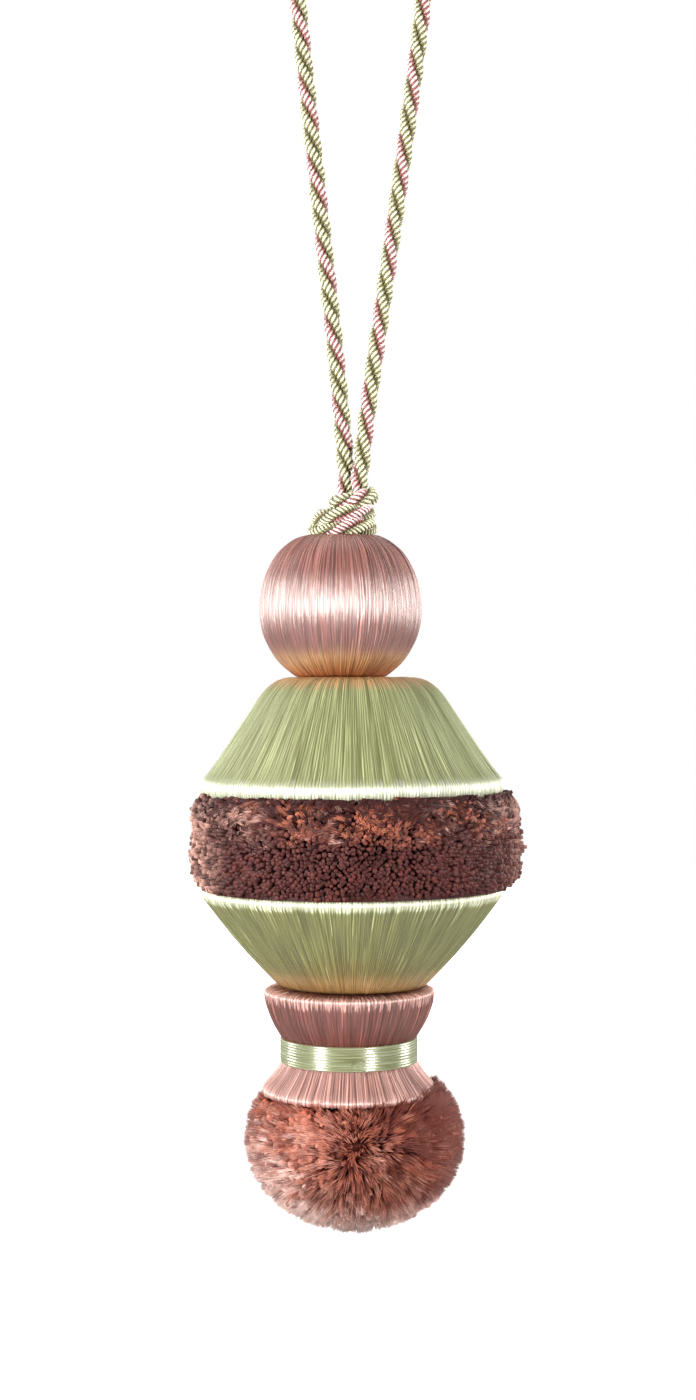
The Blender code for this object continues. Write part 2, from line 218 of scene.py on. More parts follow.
class TasselColours(bpy.types.PropertyGroup):
    """Colours of the fibres, and of the painted light and shade laid over some of them."""

    pink_dark: colour_setting("Pink floss, dark", "Shaded threads of the pink floss", colour(84, 38, 32))
    pink_light: colour_setting("Pink floss, light", "Light threads of the pink floss", colour(158, 98, 86))
    # Painted warm light, bounced from the neighbouring pieces, on the floss towards the ends of a mould
    peach_bounce_light: colour_setting(
        "Peach floss", "Warm tint of the pink floss towards the ends of a mould", colour(204, 148, 94)
    )
    green_dark: colour_setting(
        "Green floss, dark", "Shaded threads of the sage green floss", colour(92, 94, 38)
    )
    green_light: colour_setting(
        "Green floss, light", "Light threads of the sage green floss", colour(160, 165, 112)
    )
    # Golden cast of the green floss, with painted warm bounce light towards the lower cone's foot
    gold_bounce_light: colour_setting(
        "Golden floss", "Warm tint of the green floss towards the ends of a mould", colour(136, 104, 40)
    )
    # Painted shade and warm bounce light on the pink floss where the ball meets the cone
    amber_contact_shade: colour_setting(
        "Amber floss", "Deep tint of the pink floss where the ball meets the cone", colour(206, 108, 52)
    )
    # Painted shade on the spool's downward-facing upper half
    mauve_shade: colour_setting(
        "Mauve floss", "Tint of the pink floss on the spool's upper half", colour(98, 20, 14)
    )
    # Painted shade on the ball's floss under its bright band
    rose_shade: colour_setting("Ball floss, low", "Floss of the ball under its bright band", colour(116, 44, 38))
    # Olive floss of the lower cone, darkened with painted shade where the cone faces down
    olive_shade: colour_setting("Lower cone floss", "Floss of the lower cone under its rim", colour(104, 102, 28))
    # Painted light on the spool's upward-facing flare and lower half, and a painted highlight on its top
    # rim
    blush_light: colour_setting(
        "Blush floss", "Light tint of the pink floss on the spool's flare", colour(226, 176, 166)
    )
    # Painted highlight on the green floss over a cone's rim
    cream_highlight: colour_setting(
        "Cream floss", "Pale tint of the green floss over a cone's rim", colour(232, 234, 208)
    )
    pink_gloss: colour_setting("Pink sheen", "Tint of the pink floss's sheen", (1.0, 0.89, 0.85))
    mauve_gloss: colour_setting("Spool sheen", "Tint of the spool floss's sheen", (1.0, 0.71, 0.64))
    olive_gloss: colour_setting(
        "Lower green sheen", "Tint of the green floss's sheen on the lower cone", (0.95, 0.95, 0.70)
    )
    green_gloss: colour_setting("Green sheen", "Tint of the green floss's sheen", (0.97, 1.0, 0.86))
    tan: colour_setting("Tan floss", "Tint of the pink floss over the spool's top", colour(98, 48, 26))
    pale_green: colour_setting("Binding floss", "Pale green floss round the waist", colour(136, 142, 108))
    # Painted shade deep between the ruff's yarn ends, also over its inner form
    ruff_root_shade: colour_setting(
        "Ruff, root", "Deep colour between the yarn ends of the ruff", colour(50, 12, 10)
    )
    ruff_tip: colour_setting("Ruff, tip", "Cut yarn ends of the ruff", colour(86, 37, 33))
    # Painted warm highlight on the yarn ends along the ruff's top
    ruff_warm_highlight: colour_setting(
        "Ruff, upper tip", "Warmer yarn ends along the ruff's top", colour(222, 130, 98)
    )
    # Painted silvery sheen on the yarn ends at the ruff's left and right
    ruff_pale_sheen: colour_setting(
        "Ruff, brushed tip", "Silvery yarn ends at the ruff's left and right", colour(236, 182, 164)
    )
    # Painted shade deep between the pompom's yarn ends, also over its inner form
    pompom_root_shade: colour_setting(
        "Pompom, root", "Deep colour between the yarn ends of the pompom", colour(88, 32, 21)
    )
    pompom_tip: colour_setting("Pompom, tip", "Cut yarn ends of the pompom", colour(206, 136, 115))
    # Rust yarn ends, deepened with painted shade round the pompom's crown and to its right
    pompom_rust_shade: colour_setting(
        "Pompom, rust tip", "Yarn ends round the pompom's crown", colour(194, 99, 70)
    )
    # Painted light on the yarn ends at the pompom's left and foot
    pompom_pale_light: colour_setting(
        "Pompom, pale tip", "Yarn ends at the pompom's left and foot", colour(252, 214, 202)
    )
    # Painted highlight on the yarn crests and painted shade in the grooves of the green plies
    cord_green_highlight: colour_setting("Cord, green ply", "Crests of the green plies", colour(244, 242, 204))
    cord_green_groove_shade: colour_setting(
        "Cord, green groove", "Grooves of the green plies", colour(88, 80, 20)
    )
    # Painted highlight on the yarn crests and painted shade in the grooves of the pink ply
    cord_pink_highlight: colour_setting("Cord, pink ply", "Crests of the pink ply", colour(250, 228, 224))
    cord_pink_groove_shade: colour_setting("Cord, pink groove", "Grooves of the pink ply", colour(118, 48, 38))


def sizes():
    """The scene's sizes."""
    return bpy.context.scene.tassel_sizes


def colours():
    """The scene's colours."""
    return bpy.context.scene.tassel_colours


def deselect_all():
    """Leave object mode with nothing selected."""
    if bpy.context.object and bpy.context.object.mode != "OBJECT":
        bpy.ops.object.mode_set(mode="OBJECT")
    bpy.ops.object.select_all(action="DESELECT")


def select_only(piece):
    """Make one object the selected and active one."""
    deselect_all()
    piece.select_set(True)
    bpy.context.view_layer.objects.active = piece


def finish_piece(piece, material, slot, *nodes):
    """Give a piece its material and its place in the model."""
    piece.data.materials.clear()
    piece.data.materials.append(material)
    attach(piece, "root")
    if nodes:
        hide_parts(*nodes)


def node_size(name):
    """The axis x, greatest radius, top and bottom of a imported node."""
    low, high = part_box(name)
    return (low.x + high.x) / 2, (high.x - low.x) / 2, high.z, low.z


def spline(points, steps):
    """A smooth curve through points, as an array, with this many steps between each two."""
    points = np.asarray(points, float)
    ends = np.vstack([2 * points[0] - points[1], points, 2 * points[-1] - points[-2]])
    share = (np.arange(steps) / steps)[:, None]
    parts = []
    for index in range(len(points) - 1):
        before, start, end, after = ends[index:index + 4]
        parts.append(0.5 * (
            2 * start
            + (end - before) * share
            + (2 * before - 5 * start + 4 * end - after) * share**2
            + (3 * start - before - 3 * end + after) * share**3
        ))
    parts.append(points[-1:])
    return np.vstack(parts)


def resample(curve, count, bend_length=0.0):
    """The curve's points moved to be even apart, closer where it bends if a bend counts as a length."""
    steps = np.diff(curve, axis=0)
    pace = np.linalg.norm(steps, axis=1)
    if bend_length:
        ways = np.unwrap(np.arctan2(steps[:, 1], steps[:, 0]))
        pace += bend_length * np.abs(np.gradient(ways))
    lengths = np.concatenate([[0.0], np.cumsum(pace)])
    even = np.linspace(0.0, lengths[-1], count)
    return np.column_stack([np.interp(even, lengths, curve[:, axis]) for axis in range(curve.shape[1])])


def unit(vectors):
    """Vectors brought to a length of one."""
    return vectors / np.linalg.norm(vectors, axis=-1, keepdims=True)


def held(values):
    """Values kept between 0 and 1."""
    return np.clip(values, 0.0, 1.0)


def drift(across, along, seed):
    """Smooth noise from -1 to 1 on a surface that closes on itself across."""
    turn = across * math.tau
    reach = np.stack([np.cos(turn), np.sin(turn)], axis=-1)
    values = [
        noise.noise((x, y, z + seed * 17.3))
        for x, y, z in zip(reach[..., 0].ravel(), reach[..., 1].ravel(), along.ravel())
    ]
    return np.array(values).reshape(across.shape)


def new_node(tree, kind, **settings):
    """Add a shader node with some of its own settings."""
    made = tree.nodes.new(kind)
    for key, value in settings.items():
        setattr(made, key, value)
    return made


def feed(tree, source, target):
    """Link a socket, or set it to a plain value."""
    if isinstance(source, bpy.types.NodeSocket):
        tree.links.new(source, target)
    else:
        target.default_value = source


def feed_all(tree, node, *sources):
    """Feed a node's first sockets in order, and give its first output."""
    for source, socket in zip(sources, node.inputs):
        feed(tree, source, socket)
    return node.outputs[0]


def arithmetic(tree, operation, first, second=0.0):
    """The output of a math node."""
    return feed_all(tree, new_node(tree, "ShaderNodeMath", operation=operation), first, second)


def times(tree, first, second):
    """The product of two values."""
    return arithmetic(tree, "MULTIPLY", first, second)


def vector_math(tree, operation, *sources):
    """The output of a vector math node."""
    return feed_all(tree, new_node(tree, "ShaderNodeVectorMath", operation=operation), *sources)


def split(tree, vector):
    """A vector's three parts."""
    made = new_node(tree, "ShaderNodeSeparateXYZ")
    feed_all(tree, made, vector)
    return made.outputs


def feed_named(tree, sockets, sources):
    """Link sockets by name, or set them to plain values."""
    for label, source in sources.items():
        feed(tree, source, sockets[label])


def blend_colours(tree, share, first, second):
    """The output of a colour mix."""
    made = new_node(tree, "ShaderNodeMix", data_type="RGBA")
    feed(tree, share, made.inputs[0])
    for value, socket in ((first, made.inputs[6]), (second, made.inputs[7])):
        feed(tree, value if isinstance(value, bpy.types.NodeSocket) else (*value, 1.0), socket)
    return made.outputs[2]


def rescale(tree, value, low, high, to_low=0.0, to_high=1.0):
    """A value's stretch from low to high, smoothed onto another stretch."""
    made = new_node(tree, "ShaderNodeMapRange", interpolation_type="SMOOTHSTEP")
    return feed_all(tree, made, value, low, high, to_low, to_high)


def noise_value(tree, vector, scale):
    """The value of a noise texture."""
    made = new_node(tree, "ShaderNodeTexNoise")
    feed_named(tree, made.inputs, {"Vector": vector, "Scale": scale, "Detail": 2.0})
    return made.outputs["Fac"]


def bump(tree, height, strength, distance, normal=None):
    """The normal of a surface with small heights on it."""
    made = new_node(tree, "ShaderNodeBump")
    feed_named(tree, made.inputs, {"Strength": strength, "Distance": distance, "Height": height})
    if normal is not None:
        feed(tree, normal, made.inputs["Normal"])
    return made.outputs[0]


def new_material(name):
    """A material, its node tree and its shader."""
    material = bpy.data.materials.new(name)
    material.use_nodes = True
    return material, material.node_tree, material.node_tree.nodes["Principled BSDF"]


def new_group(name, inputs, outputs):
    """A shader node group with its sockets, and its input and output nodes."""
    group = bpy.data.node_groups.new(name, "ShaderNodeTree")
    for label, kind in inputs:
        group.interface.new_socket(name=label, in_out="INPUT", socket_type=kind)
    for label, kind in outputs:
        group.interface.new_socket(name=label, in_out="OUTPUT", socket_type=kind)
    return group, group.nodes.new("NodeGroupInput").outputs, group.nodes.new("NodeGroupOutput").inputs


def strand_group():
    """Tone, painted glints, gaps for painted shade, height and normal of laid threads, from a winding's own
    map.
    """
    name = "Laid strands"
    if name in bpy.data.node_groups:
        return bpy.data.node_groups[name]
    number, vector = "NodeSocketFloat", "NodeSocketVector"
    group, given, result = new_group(
        name,
        [("Winding", vector), ("Strands", number), ("Run", number), ("Tilt", number)],
        [("Tone", number), ("Glints", number), ("Gaps", number), ("Height", number), ("Normal", vector)],
    )
    parts = split(group, given["Winding"])
    across = times(group, parts[0], given["Strands"])
    along = times(group, parts[1], given["Run"])

    def streaks(width, length, seed, low=0.0, high=1.0, to_low=0.0, to_high=1.0):
        """Noise drawn out along the threads."""
        place = new_node(group, "ShaderNodeCombineXYZ")
        spot = feed_all(group, place, times(group, across, width), times(group, along, length), seed)
        return rescale(group, noise_value(group, spot, 1.0), low, high, to_low, to_high)

    def weighted(*terms):
        """A sum of values, each times its weight."""
        total = 0.0
        for value, weight in terms:
            total = arithmetic(group, "ADD", times(group, value, weight), total)
        return total

    own = new_node(group, "ShaderNodeTexWhiteNoise", noise_dimensions="1D")
    feed(group, arithmetic(group, "FLOOR", across), own.inputs["W"])
    hairs = streaks(2.6, 0.9, 3.0, 0.32, 0.68)
    threads = streaks(1.0, 0.6, 9.0, 0.34, 0.66)
    bundles = streaks(0.17, 0.4, 15.0, 0.34, 0.66)
    tone = weighted((own.outputs["Value"], 0.14), (hairs, 0.56), (threads, 0.24), (bundles, 0.06))
    feed_named(group, result, {
        "Tone": rescale(group, tone, 0.2, 0.8), "Glints": streaks(1.3, 0.9, 63.0, 0.62, 0.72),
    })
    side = arithmetic(group, "SUBTRACT", arithmetic(group, "FRACT", across), 0.5)
    edge = rescale(group, arithmetic(group, "ABSOLUTE", side), 0.2, 0.48)
    groove = times(group, edge, streaks(1.0, 0.5, 51.0, 0.38, 0.62, 0.4, 1.0))
    splits = streaks(1.7, 0.35, 27.0, 0.30, 0.38, 1.0, 0.0)
    height = weighted((hairs, 0.35), (streaks(1.1, 2.4, 21.0), 0.65))
    normal = new_node(group, "ShaderNodeNewGeometry").outputs["Normal"]
    tangent = new_node(group, "ShaderNodeTangent", direction_type="UV_MAP", uv_map="winding")
    run = vector_math(group, "CROSS_PRODUCT", normal, tangent.outputs[0])
    tilt = times(group, streaks(1.7, 0.5, 33.0, 0.3, 0.7, -1.0, 1.0), given["Tilt"])
    tilted = vector_math(group, "MULTIPLY_ADD", run, tilt, normal)
    feed_named(group, result, {
        "Gaps": arithmetic(group, "MAXIMUM", groove, splits), "Height": height,
        "Normal": vector_math(group, "NORMALIZE", tilted),
    })
    return group


def floss_material(name, dark, light, strands, run, gloss, ends, roughness=0.45, tilt=0.08,
                   depth=0.17 * MM, gap=0.8, fray=0.03):
    """Shiny floss laid side by side, with a sheen of the tint gloss.

    ends are tints along the threads, of the floss's own colour and of painted light and shade, each as
    the places where it starts and is full, strength, colour.
    """
    material, tree, shader = new_material(name)
    winding = new_node(tree, "ShaderNodeUVMap", uv_map="winding").outputs[0]
    group = new_node(tree, "ShaderNodeGroup", node_tree=strand_group())
    tone = feed_all(tree, group, winding, strands, run, tilt)
    tint = blend_colours(tree, tone, dark, light)
    fringe = times(tree, arithmetic(tree, "SUBTRACT", tone, 0.5), fray)
    place = arithmetic(tree, "ADD", split(tree, winding)[1], fringe)
    # Tints along the threads, many of them painted light and shade
    for start, stop, strength, end in ends:
        toned = blend_colours(tree, tone, [channel * TINT_SHADE for channel in end], end)
        tint = blend_colours(tree, rescale(tree, place, start, stop, 0.0, strength), tint, toned)
    # Painted glints on sparse threads, then painted shade in the gaps between the threads
    glint = [min(1.0, channel * GLINT_SHADE) for channel in light]
    tint = blend_colours(tree, times(tree, group.outputs["Glints"], GLINT_SHARE), tint, glint)
    gaps = times(tree, group.outputs["Gaps"], gap)
    tint = blend_colours(tree, gaps, tint, [channel * GAP_SHADE for channel in dark])
    shine = rescale(tree, tone, 0.0, 1.0, roughness + 0.06, roughness - 0.06)
    tangent = new_node(tree, "ShaderNodeTangent", direction_type="UV_MAP", uv_map="winding")
    feed_named(tree, shader.inputs, {
        "Base Color": tint,
        "Roughness": arithmetic(tree, "ADD", shine, times(tree, gaps, 0.2)),
        "Normal": bump(tree, group.outputs["Height"], 1.0, depth, group.outputs["Normal"]),
        "Tangent": tangent.outputs[0],
        "Anisotropic": 0.8,
        "IOR": 2.0,
        "Specular IOR Level": 1.0,
        "Specular Tint": (*gloss, 1.0),
    })
    return material


def soft_group():
    """A normal half way between the surface's own and the way out from the middle of the pile."""
    name = "Soft pile"
    if name in bpy.data.node_groups:
        return bpy.data.node_groups[name]
    vector = "NodeSocketVector"
    group, given, result = new_group(name, [("Middle", vector), ("Spread", vector)], [("Normal", vector)])
    place = new_node(group, "ShaderNodeTexCoord").outputs["Object"]
    way = vector_math(group, "SUBTRACT", place, given["Middle"])
    out = vector_math(group, "NORMALIZE", vector_math(group, "MULTIPLY", way, given["Spread"]))
    own = new_node(group, "ShaderNodeNewGeometry").outputs["Normal"]
    feed(group, vector_math(group, "NORMALIZE", vector_math(group, "ADD", out, own)), result["Normal"])
    return group


def pile_material(name, root, tip, warm, pale, middle, spread, sheen):
    """Cut yarn ends, in painted shade between them and painted light at the tips, with a silky sheen.

    The ends' tint runs from pale at -1 over tip at 0 to warm at 1. The root colour is painted shade, and
    pale and warm carry painted light and shade.
    """
    material, tree, shader = new_material(name)
    parts = split(tree, new_node(tree, "ShaderNodeUVMap", uv_map="winding").outputs[0])
    tint = new_node(tree, "ShaderNodeAttribute", attribute_name="tint").outputs["Fac"]
    ends = blend_colours(tree, rescale(tree, tint, 0.0, 1.0), tip, warm)
    ends = blend_colours(tree, rescale(tree, tint, 0.0, -1.0), ends, pale)
    fibres = noise_value(tree, new_node(tree, "ShaderNodeTexCoord").outputs["Object"], 2600.0)
    # Painted shade deep in the pile and painted light towards the tips, along each end from root to tip
    depth = rescale(tree, parts[1], 0.3, 1.0)
    shade = times(tree, depth, rescale(tree, parts[0], 0.0, 1.0, 0.12, 1.1))
    shade = times(tree, shade, rescale(tree, fibres, 0.3, 0.7, 0.6, 1.1))
    soft = feed_all(tree, new_node(tree, "ShaderNodeGroup", node_tree=soft_group()), middle, spread)
    feed_named(tree, shader.inputs, {
        "Base Color": blend_colours(tree, shade, root, ends),
        "Normal": bump(tree, fibres, 0.6, 0.12 * MM, soft),
        "Roughness": 0.5,
        "Specular IOR Level": 0.2,
        "Sheen Weight": sheen,
        "Sheen Roughness": 0.3,
        "Sheen Tint": (1.0, 0.75, 0.7, 1.0),
    })
    return material


def ply_material(name, groove, crest):
    """One ply of the cord: painted highlight on yarn crests, painted shade between yarns and towards other
    plies.
    """
    if name in bpy.data.materials:
        return bpy.data.materials[name]
    material, tree, shader = new_material(name)
    parts = split(tree, new_node(tree, "ShaderNodeUVMap", uv_map="winding").outputs[0])
    fibres = noise_value(tree, new_node(tree, "ShaderNodeTexCoord").outputs["Object"], 1800.0)
    # Painted highlight on the crests, and painted shade between yarns and where the ply faces the other
    # plies
    share = rescale(tree, parts[0], 0.4, 0.95)
    share = times(tree, share, rescale(tree, parts[1], 0.5, 0.93, 0.1, 1.0))
    share = times(tree, share, rescale(tree, fibres, 0.3, 0.7, 0.6, 1.05))
    feed_named(tree, shader.inputs, {
        "Base Color": blend_colours(tree, share, groove, crest),
        "Normal": bump(tree, fibres, 0.4, 0.08 * MM),
        "Roughness": 0.38,
        "IOR": 1.6,
        "Specular IOR Level": 0.7,
        "Sheen Weight": 0.2,
    })
    return material


def mesh_from_arrays(name, points, corners, sizes_of_faces, map_points):
    """An object from arrays: points, each face's corners in turn, faces' sizes and a map for each point."""
    mesh = bpy.data.meshes.new(name)
    mesh.vertices.add(len(points))
    mesh.vertices.foreach_set("co", np.ascontiguousarray(points, np.float32).ravel())
    mesh.loops.add(len(corners))
    mesh.loops.foreach_set("vertex_index", np.ascontiguousarray(corners, np.int32))
    mesh.polygons.add(len(sizes_of_faces))
    starts = np.concatenate([[0], np.cumsum(sizes_of_faces)[:-1]]).astype(np.int32)
    mesh.polygons.foreach_set("loop_start", starts)
    mesh.update(calc_edges=True)
    layer = mesh.uv_layers.new(name="winding")
    layer.data.foreach_set("uv", np.ascontiguousarray(map_points[corners], np.float32).ravel())
    mesh.validate()
    mesh.shade_smooth()
    piece = bpy.data.objects.new(name, mesh)
    bpy.context.scene.collection.objects.link(piece)
    return piece


def flat_sheet(name, columns, rows):
    """A flat grid to wrap round an axis, with each point's column and row."""
    deselect_all()
    bpy.ops.mesh.primitive_grid_add(x_subdivisions=columns, y_subdivisions=rows, size=1.0)
    sheet = bpy.context.object
    sheet.name = sheet.data.name = name
    places = np.empty(len(sheet.data.vertices) * 3, np.float32)
    sheet.data.vertices.foreach_get("co", places)
    places = places.reshape(-1, 3).astype(float)
    column = np.rint((places[:, 0] + 0.5) * columns).astype(int)
    return sheet, column, np.rint((0.5 - places[:, 1]) * rows).astype(int)


def wrap_sheet(sheet, places, spots):
    """Move a sheet's points to their places, and to their spots on the map that the threads follow."""
    sheet.data.vertices.foreach_set("co", places.astype(np.float32).ravel())
    layer = sheet.data.uv_layers[0]
    layer.name = "winding"
    corners = np.empty(len(sheet.data.loops), np.int32)
    sheet.data.loops.foreach_get("vertex_index", corners)
    layer.data.foreach_set("uv", spots[corners].astype(np.float32).ravel())


def wind_mould(name, outline, axis, top, threads, rows, lean_share, gather, seed):
    """A mould covered with threads that run from end to end, from one sheet wrapped round its outline.

    lean_share gives how much of the rims' lean a depth below the top has. gather is how much the
    threads crowd into bundles.
    """
    columns = threads * len(CREST)
    piece, column, row = flat_sheet(name, columns, rows + 2)
    curve = resample(spline(np.array(outline) * MM, 8), rows + 1, 1.5 * MM)
    curve = np.vstack([[0.0, curve[0, 1]], curve, [0.0, curve[-1, 1]]])
    travel = np.concatenate([[0.0], np.cumsum(np.linalg.norm(np.diff(curve, axis=0), axis=1))])
    travel /= travel[-1]
    radius, depth, along = curve[row, 0], curve[row, 1], travel[row]
    across = column / columns
    crest = np.array(CREST)[column % len(CREST)]
    crowd = 0.45 + 0.55 * radius / radius.max()
    thread = column // len(CREST) % threads
    relief = (0.5 + 0.5 * gather) * sizes().thread_height * drift_lines(thread, along, threads, seed)
    relief = relief * crowd * crest + gather * drift(across, along * 1.2, seed) * 0.06 * MM
    relief -= 0.1 * MM
    relief[radius < 0.5 * MM] = 0.0
    slope = unit(np.gradient(curve, axis=0))[row]
    turn = math.pi / 2 + (across + gather * thread_sway(across, along, threads, seed)) * math.tau
    reach = radius + relief * slope[:, 1]
    x = reach * np.cos(turn)
    z = top - depth + relief * slope[:, 0] + x * LEAN * lean_share(depth)
    places = np.column_stack([axis + x, reach * np.sin(turn), z])
    wrap_sheet(piece, places, np.column_stack([across, 1.0 - along]))
    close_sheet(piece)
    return piece


def drift_lines(thread, along, threads, seed):
    """Each thread's own height, which changes slowly along it."""
    chance = np.random.default_rng(seed)
    base = chance.uniform(0.55, 1.45, threads)
    base[chance.random(threads) < 0.07] = 2.3
    knots = 5
    table = base[:, None] * chance.uniform(0.75, 1.25, (threads, knots))
    place = along * (knots - 1)
    low = np.clip(place.astype(int), 0, knots - 2)
    share = place - low
    return table[thread, low] * (1 - share) + table[thread, low + 1] * share


def thread_sway(across, along, threads, seed):
    """How far the threads lean sideways, in turns, so that they gather into bundles."""
    wide = drift(across, along * 1.5, seed + 5)
    turn = across * math.tau
    chance = np.random.default_rng(seed + 2)
    narrow = np.zeros_like(across)
    for count in (19, 31, 47):
        phase, tilt = chance.uniform(0, math.tau), chance.uniform(-3.0, 3.0)
        narrow += np.sin(turn * count + phase + along * tilt) * np.sin(along * math.pi * 1.7 + phase)
    return (wide * 1.6 + narrow * 0.26) / threads


def close_sheet(piece, bridge=False):
    """Join a wrapped sheet's seam and poles, or bridge its two edges on the inside, with its faces out."""
    select_only(piece)
    bpy.ops.object.mode_set(mode="EDIT")
    bpy.ops.mesh.select_all(action="SELECT")
    bpy.ops.mesh.remove_doubles(threshold=1e-7)
    if bridge:
        bpy.ops.mesh.select_mode(type="EDGE")
        bpy.ops.mesh.select_all(action="DESELECT")
        shape = bmesh.from_edit_mesh(piece.data)
        for edge in shape.edges:
            edge.select_set(edge.is_boundary)
        bmesh.update_edit_mesh(piece.data)
        bpy.ops.mesh.bridge_edge_loops()
        bpy.ops.mesh.select_all(action="SELECT")
    bpy.ops.mesh.normals_make_consistent(inside=False)
    bpy.ops.object.mode_set(mode="OBJECT")
    bpy.ops.object.shade_smooth()
    deselect_all()


def level(depth):
    """No lean at any height."""
    return np.zeros_like(depth)


def cord_frames(path, across, closed=False):
    """The direction along a path at each point, and two directions square to it."""
    if closed:
        forward = np.roll(path, -1, axis=0) - np.roll(path, 1, axis=0)
    else:
        forward = np.gradient(path, axis=0)
    forward = unit(forward)
    side = unit(np.cross(forward, across))
    return forward, side, np.cross(forward, side)


def lay_ply(path, across, turns, yarn_turns, diameter, closed):
    """One ply of a cord: a ridged tube that winds round the path. Returns points, quads and map."""
    crest = np.tile([0.0, 0.55, 0.97, 0.97, 0.55], YARNS_IN_A_PLY)
    around = len(crest)
    ply_radius = diameter * PLY_SHARE
    lane = diameter / 2 - ply_radius
    _, side, rise = cord_frames(path, across, closed)
    out = side * np.cos(turns)[:, None] + rise * np.sin(turns)[:, None]
    centre = path + out * lane
    ahead, _, _ = cord_frames(centre, across, closed)
    first = unit(out - ahead * np.sum(out * ahead, axis=1)[:, None])
    second = np.cross(ahead, first)
    turn = math.tau * np.arange(around) / around + yarn_turns[:, None]
    reach = ply_radius * (1.0 - GROOVE_SHARE * (1.0 - crest))
    points = (
        centre[:, None, :]
        + first[:, None, :] * (np.cos(turn) * reach)[..., None]
        + second[:, None, :] * (np.sin(turn) * reach)[..., None]
    ).reshape(-1, 3)
    count = len(path)
    rows = np.arange(count if closed else count - 1)[:, None] * around
    ring = np.arange(around)[None, :]
    after = (ring + 1) % around
    above = (rows + around) % (count * around)
    quads = np.stack([rows + ring, rows + after, above + after, above + ring], axis=-1).reshape(-1, 4)
    # The map holds each point's crest and how far it faces out, which the ply material paints as highlight
    # and shade
    maps = np.column_stack([np.tile(crest, count), (np.cos(turn) * 0.5 + 0.5).ravel()])
    return points, quads, maps


class CordMesh:
    """Gathers three-ply cords as one mesh, with the pink ply's faces apart from the green ones."""

    def __init__(self):
        self.points, self.corners, self.face_sizes, self.maps, self.slots = [], [], [], [], []
        self.start = 0

    def lay(self, path, across, turns, yarn_turns, diameter, closed=False):
        """Lay three plies along a path. turns is the angle of the pink one at each point."""
        for ply in range(3):
            points, quads, maps = lay_ply(
                path, across, turns + math.tau * ply / 3, yarn_turns, diameter, closed
            )
            faces = [quads.ravel()]
            sizes_of_faces = [4] * len(quads)
            if not closed:
                around = len(points) // len(path)
                faces += [np.arange(around)[::-1], np.arange(len(points) - around, len(points))]
                sizes_of_faces += [around] * 2
            self.corners.extend(face + self.start for face in faces)
            self.face_sizes.extend(sizes_of_faces)
            self.slots.extend([int(ply == 0)] * len(sizes_of_faces))
            self.points.append(points)
            self.maps.append(maps)
            self.start += len(points)

    def finish(self, name, node):
        """Make the piece, with its two plies' materials."""
        piece = mesh_from_arrays(
            name, np.vstack(self.points), np.concatenate(self.corners), np.array(self.face_sizes),
            np.vstack(self.maps),
        )
        tint = colours()
        green = ply_material("green_ply", tint.cord_green_groove_shade, tint.cord_green_highlight)
        finish_piece(piece, green, "twisted_cord", node)
        piece.data.materials.append(ply_material("pink_ply", tint.cord_pink_groove_shade, tint.cord_pink_highlight))
        piece.data.polygons.foreach_set("material_index", np.array(self.slots, np.int32))
        return piece


class TASSEL_OT_stage(bpy.types.Operator):
    """Set the camera at the photograph's angle, a pale floor, soft lights and a white world"""

    bl_idname = "tassel.stage"
    bl_label = "Stage"

    def execute(self, context):
        scene = context.scene
        scene.view_settings.view_transform = "Standard"
        deselect_all()
        bpy.ops.object.camera_add(location=CAMERA_PLACE, rotation=(math.pi / 2, 0.0, 0.0))
        camera = context.object
        camera.data.lens = CAMERA_LENS
        camera.data.clip_start = 0.01
        scene.camera = camera
        world = bpy.data.worlds.new("white_room")
        world.use_nodes = True
        tree = world.node_tree
        ways = split(tree, new_node(tree, "ShaderNodeTexCoord").outputs["Generated"])
        light = rescale(tree, ways[1], -0.4, 0.8, FRONT_LIGHT, BACK_LIGHT)
        light = times(tree, light, rescale(tree, ways[2], -0.6, 0.5, LOW_SHARE, 1.0))
        strength = new_node(tree, "ShaderNodeMix", data_type="FLOAT")
        seen = new_node(tree, "ShaderNodeLightPath").outputs["Is Camera Ray"]
        feed(tree, seen, strength.inputs[0])
        feed(tree, light, strength.inputs[2])
        strength.inputs[3].default_value = 1.0
        glow = {"Color": (1.0, 1.0, 1.0, 1.0), "Strength": strength.outputs[0]}
        feed_named(tree, tree.nodes["Background"].inputs, glow)
        scene.world = world
        bpy.ops.mesh.primitive_plane_add(size=6.0, location=(0.0, 0.0, FLOOR_HEIGHT))
        floor = context.object
        floor.name = "floor"
        material, tree, shader = new_material("pale_floor")
        seen = new_node(tree, "ShaderNodeLightPath").outputs["Is Camera Ray"]
        feed_named(tree, shader.inputs, {
            "Base Color": blend_colours(tree, seen, (FLOOR_BOUNCE,) * 3, (0.9, 0.9, 0.9)),
            "Emission Color": blend_colours(tree, seen, (0.0, 0.0, 0.0), (1.0, 1.0, 1.0)),
            "Emission Strength": 1.0,
            "Roughness": 0.9,
        })
        floor.data.materials.append(material)
        for key in KEYS:
            self.add_key(*key)
        return {"FINISHED"}

    def add_key(self, side, height, shape, power):
        """A soft light, at degrees right of the camera and above the middle of the tassel."""
        turn, lift = math.radians(side), math.radians(height)
        middle = Vector((CAMERA_PLACE[0], 0.0, CAMERA_PLACE[2] + 0.01))
        away = Vector((math.sin(turn) * math.cos(lift), -math.cos(turn) * math.cos(lift), math.sin(lift)))
        aim = (-away).to_track_quat("-Z", "Y").to_euler()
        bpy.ops.object.light_add(type="AREA", location=middle + away * KEY_DISTANCE, rotation=aim)
        light = bpy.context.object.data
        light.shape = "RECTANGLE"
        light.size, light.size_y = shape
        light.energy = power


def pink_angle(travel):
    """The angle of the pink ply at lengths along the cord."""
    places, turns = np.array(PINK_TURNS).T
    return math.tau * np.interp(travel / CORD_LENGTH, places, turns)


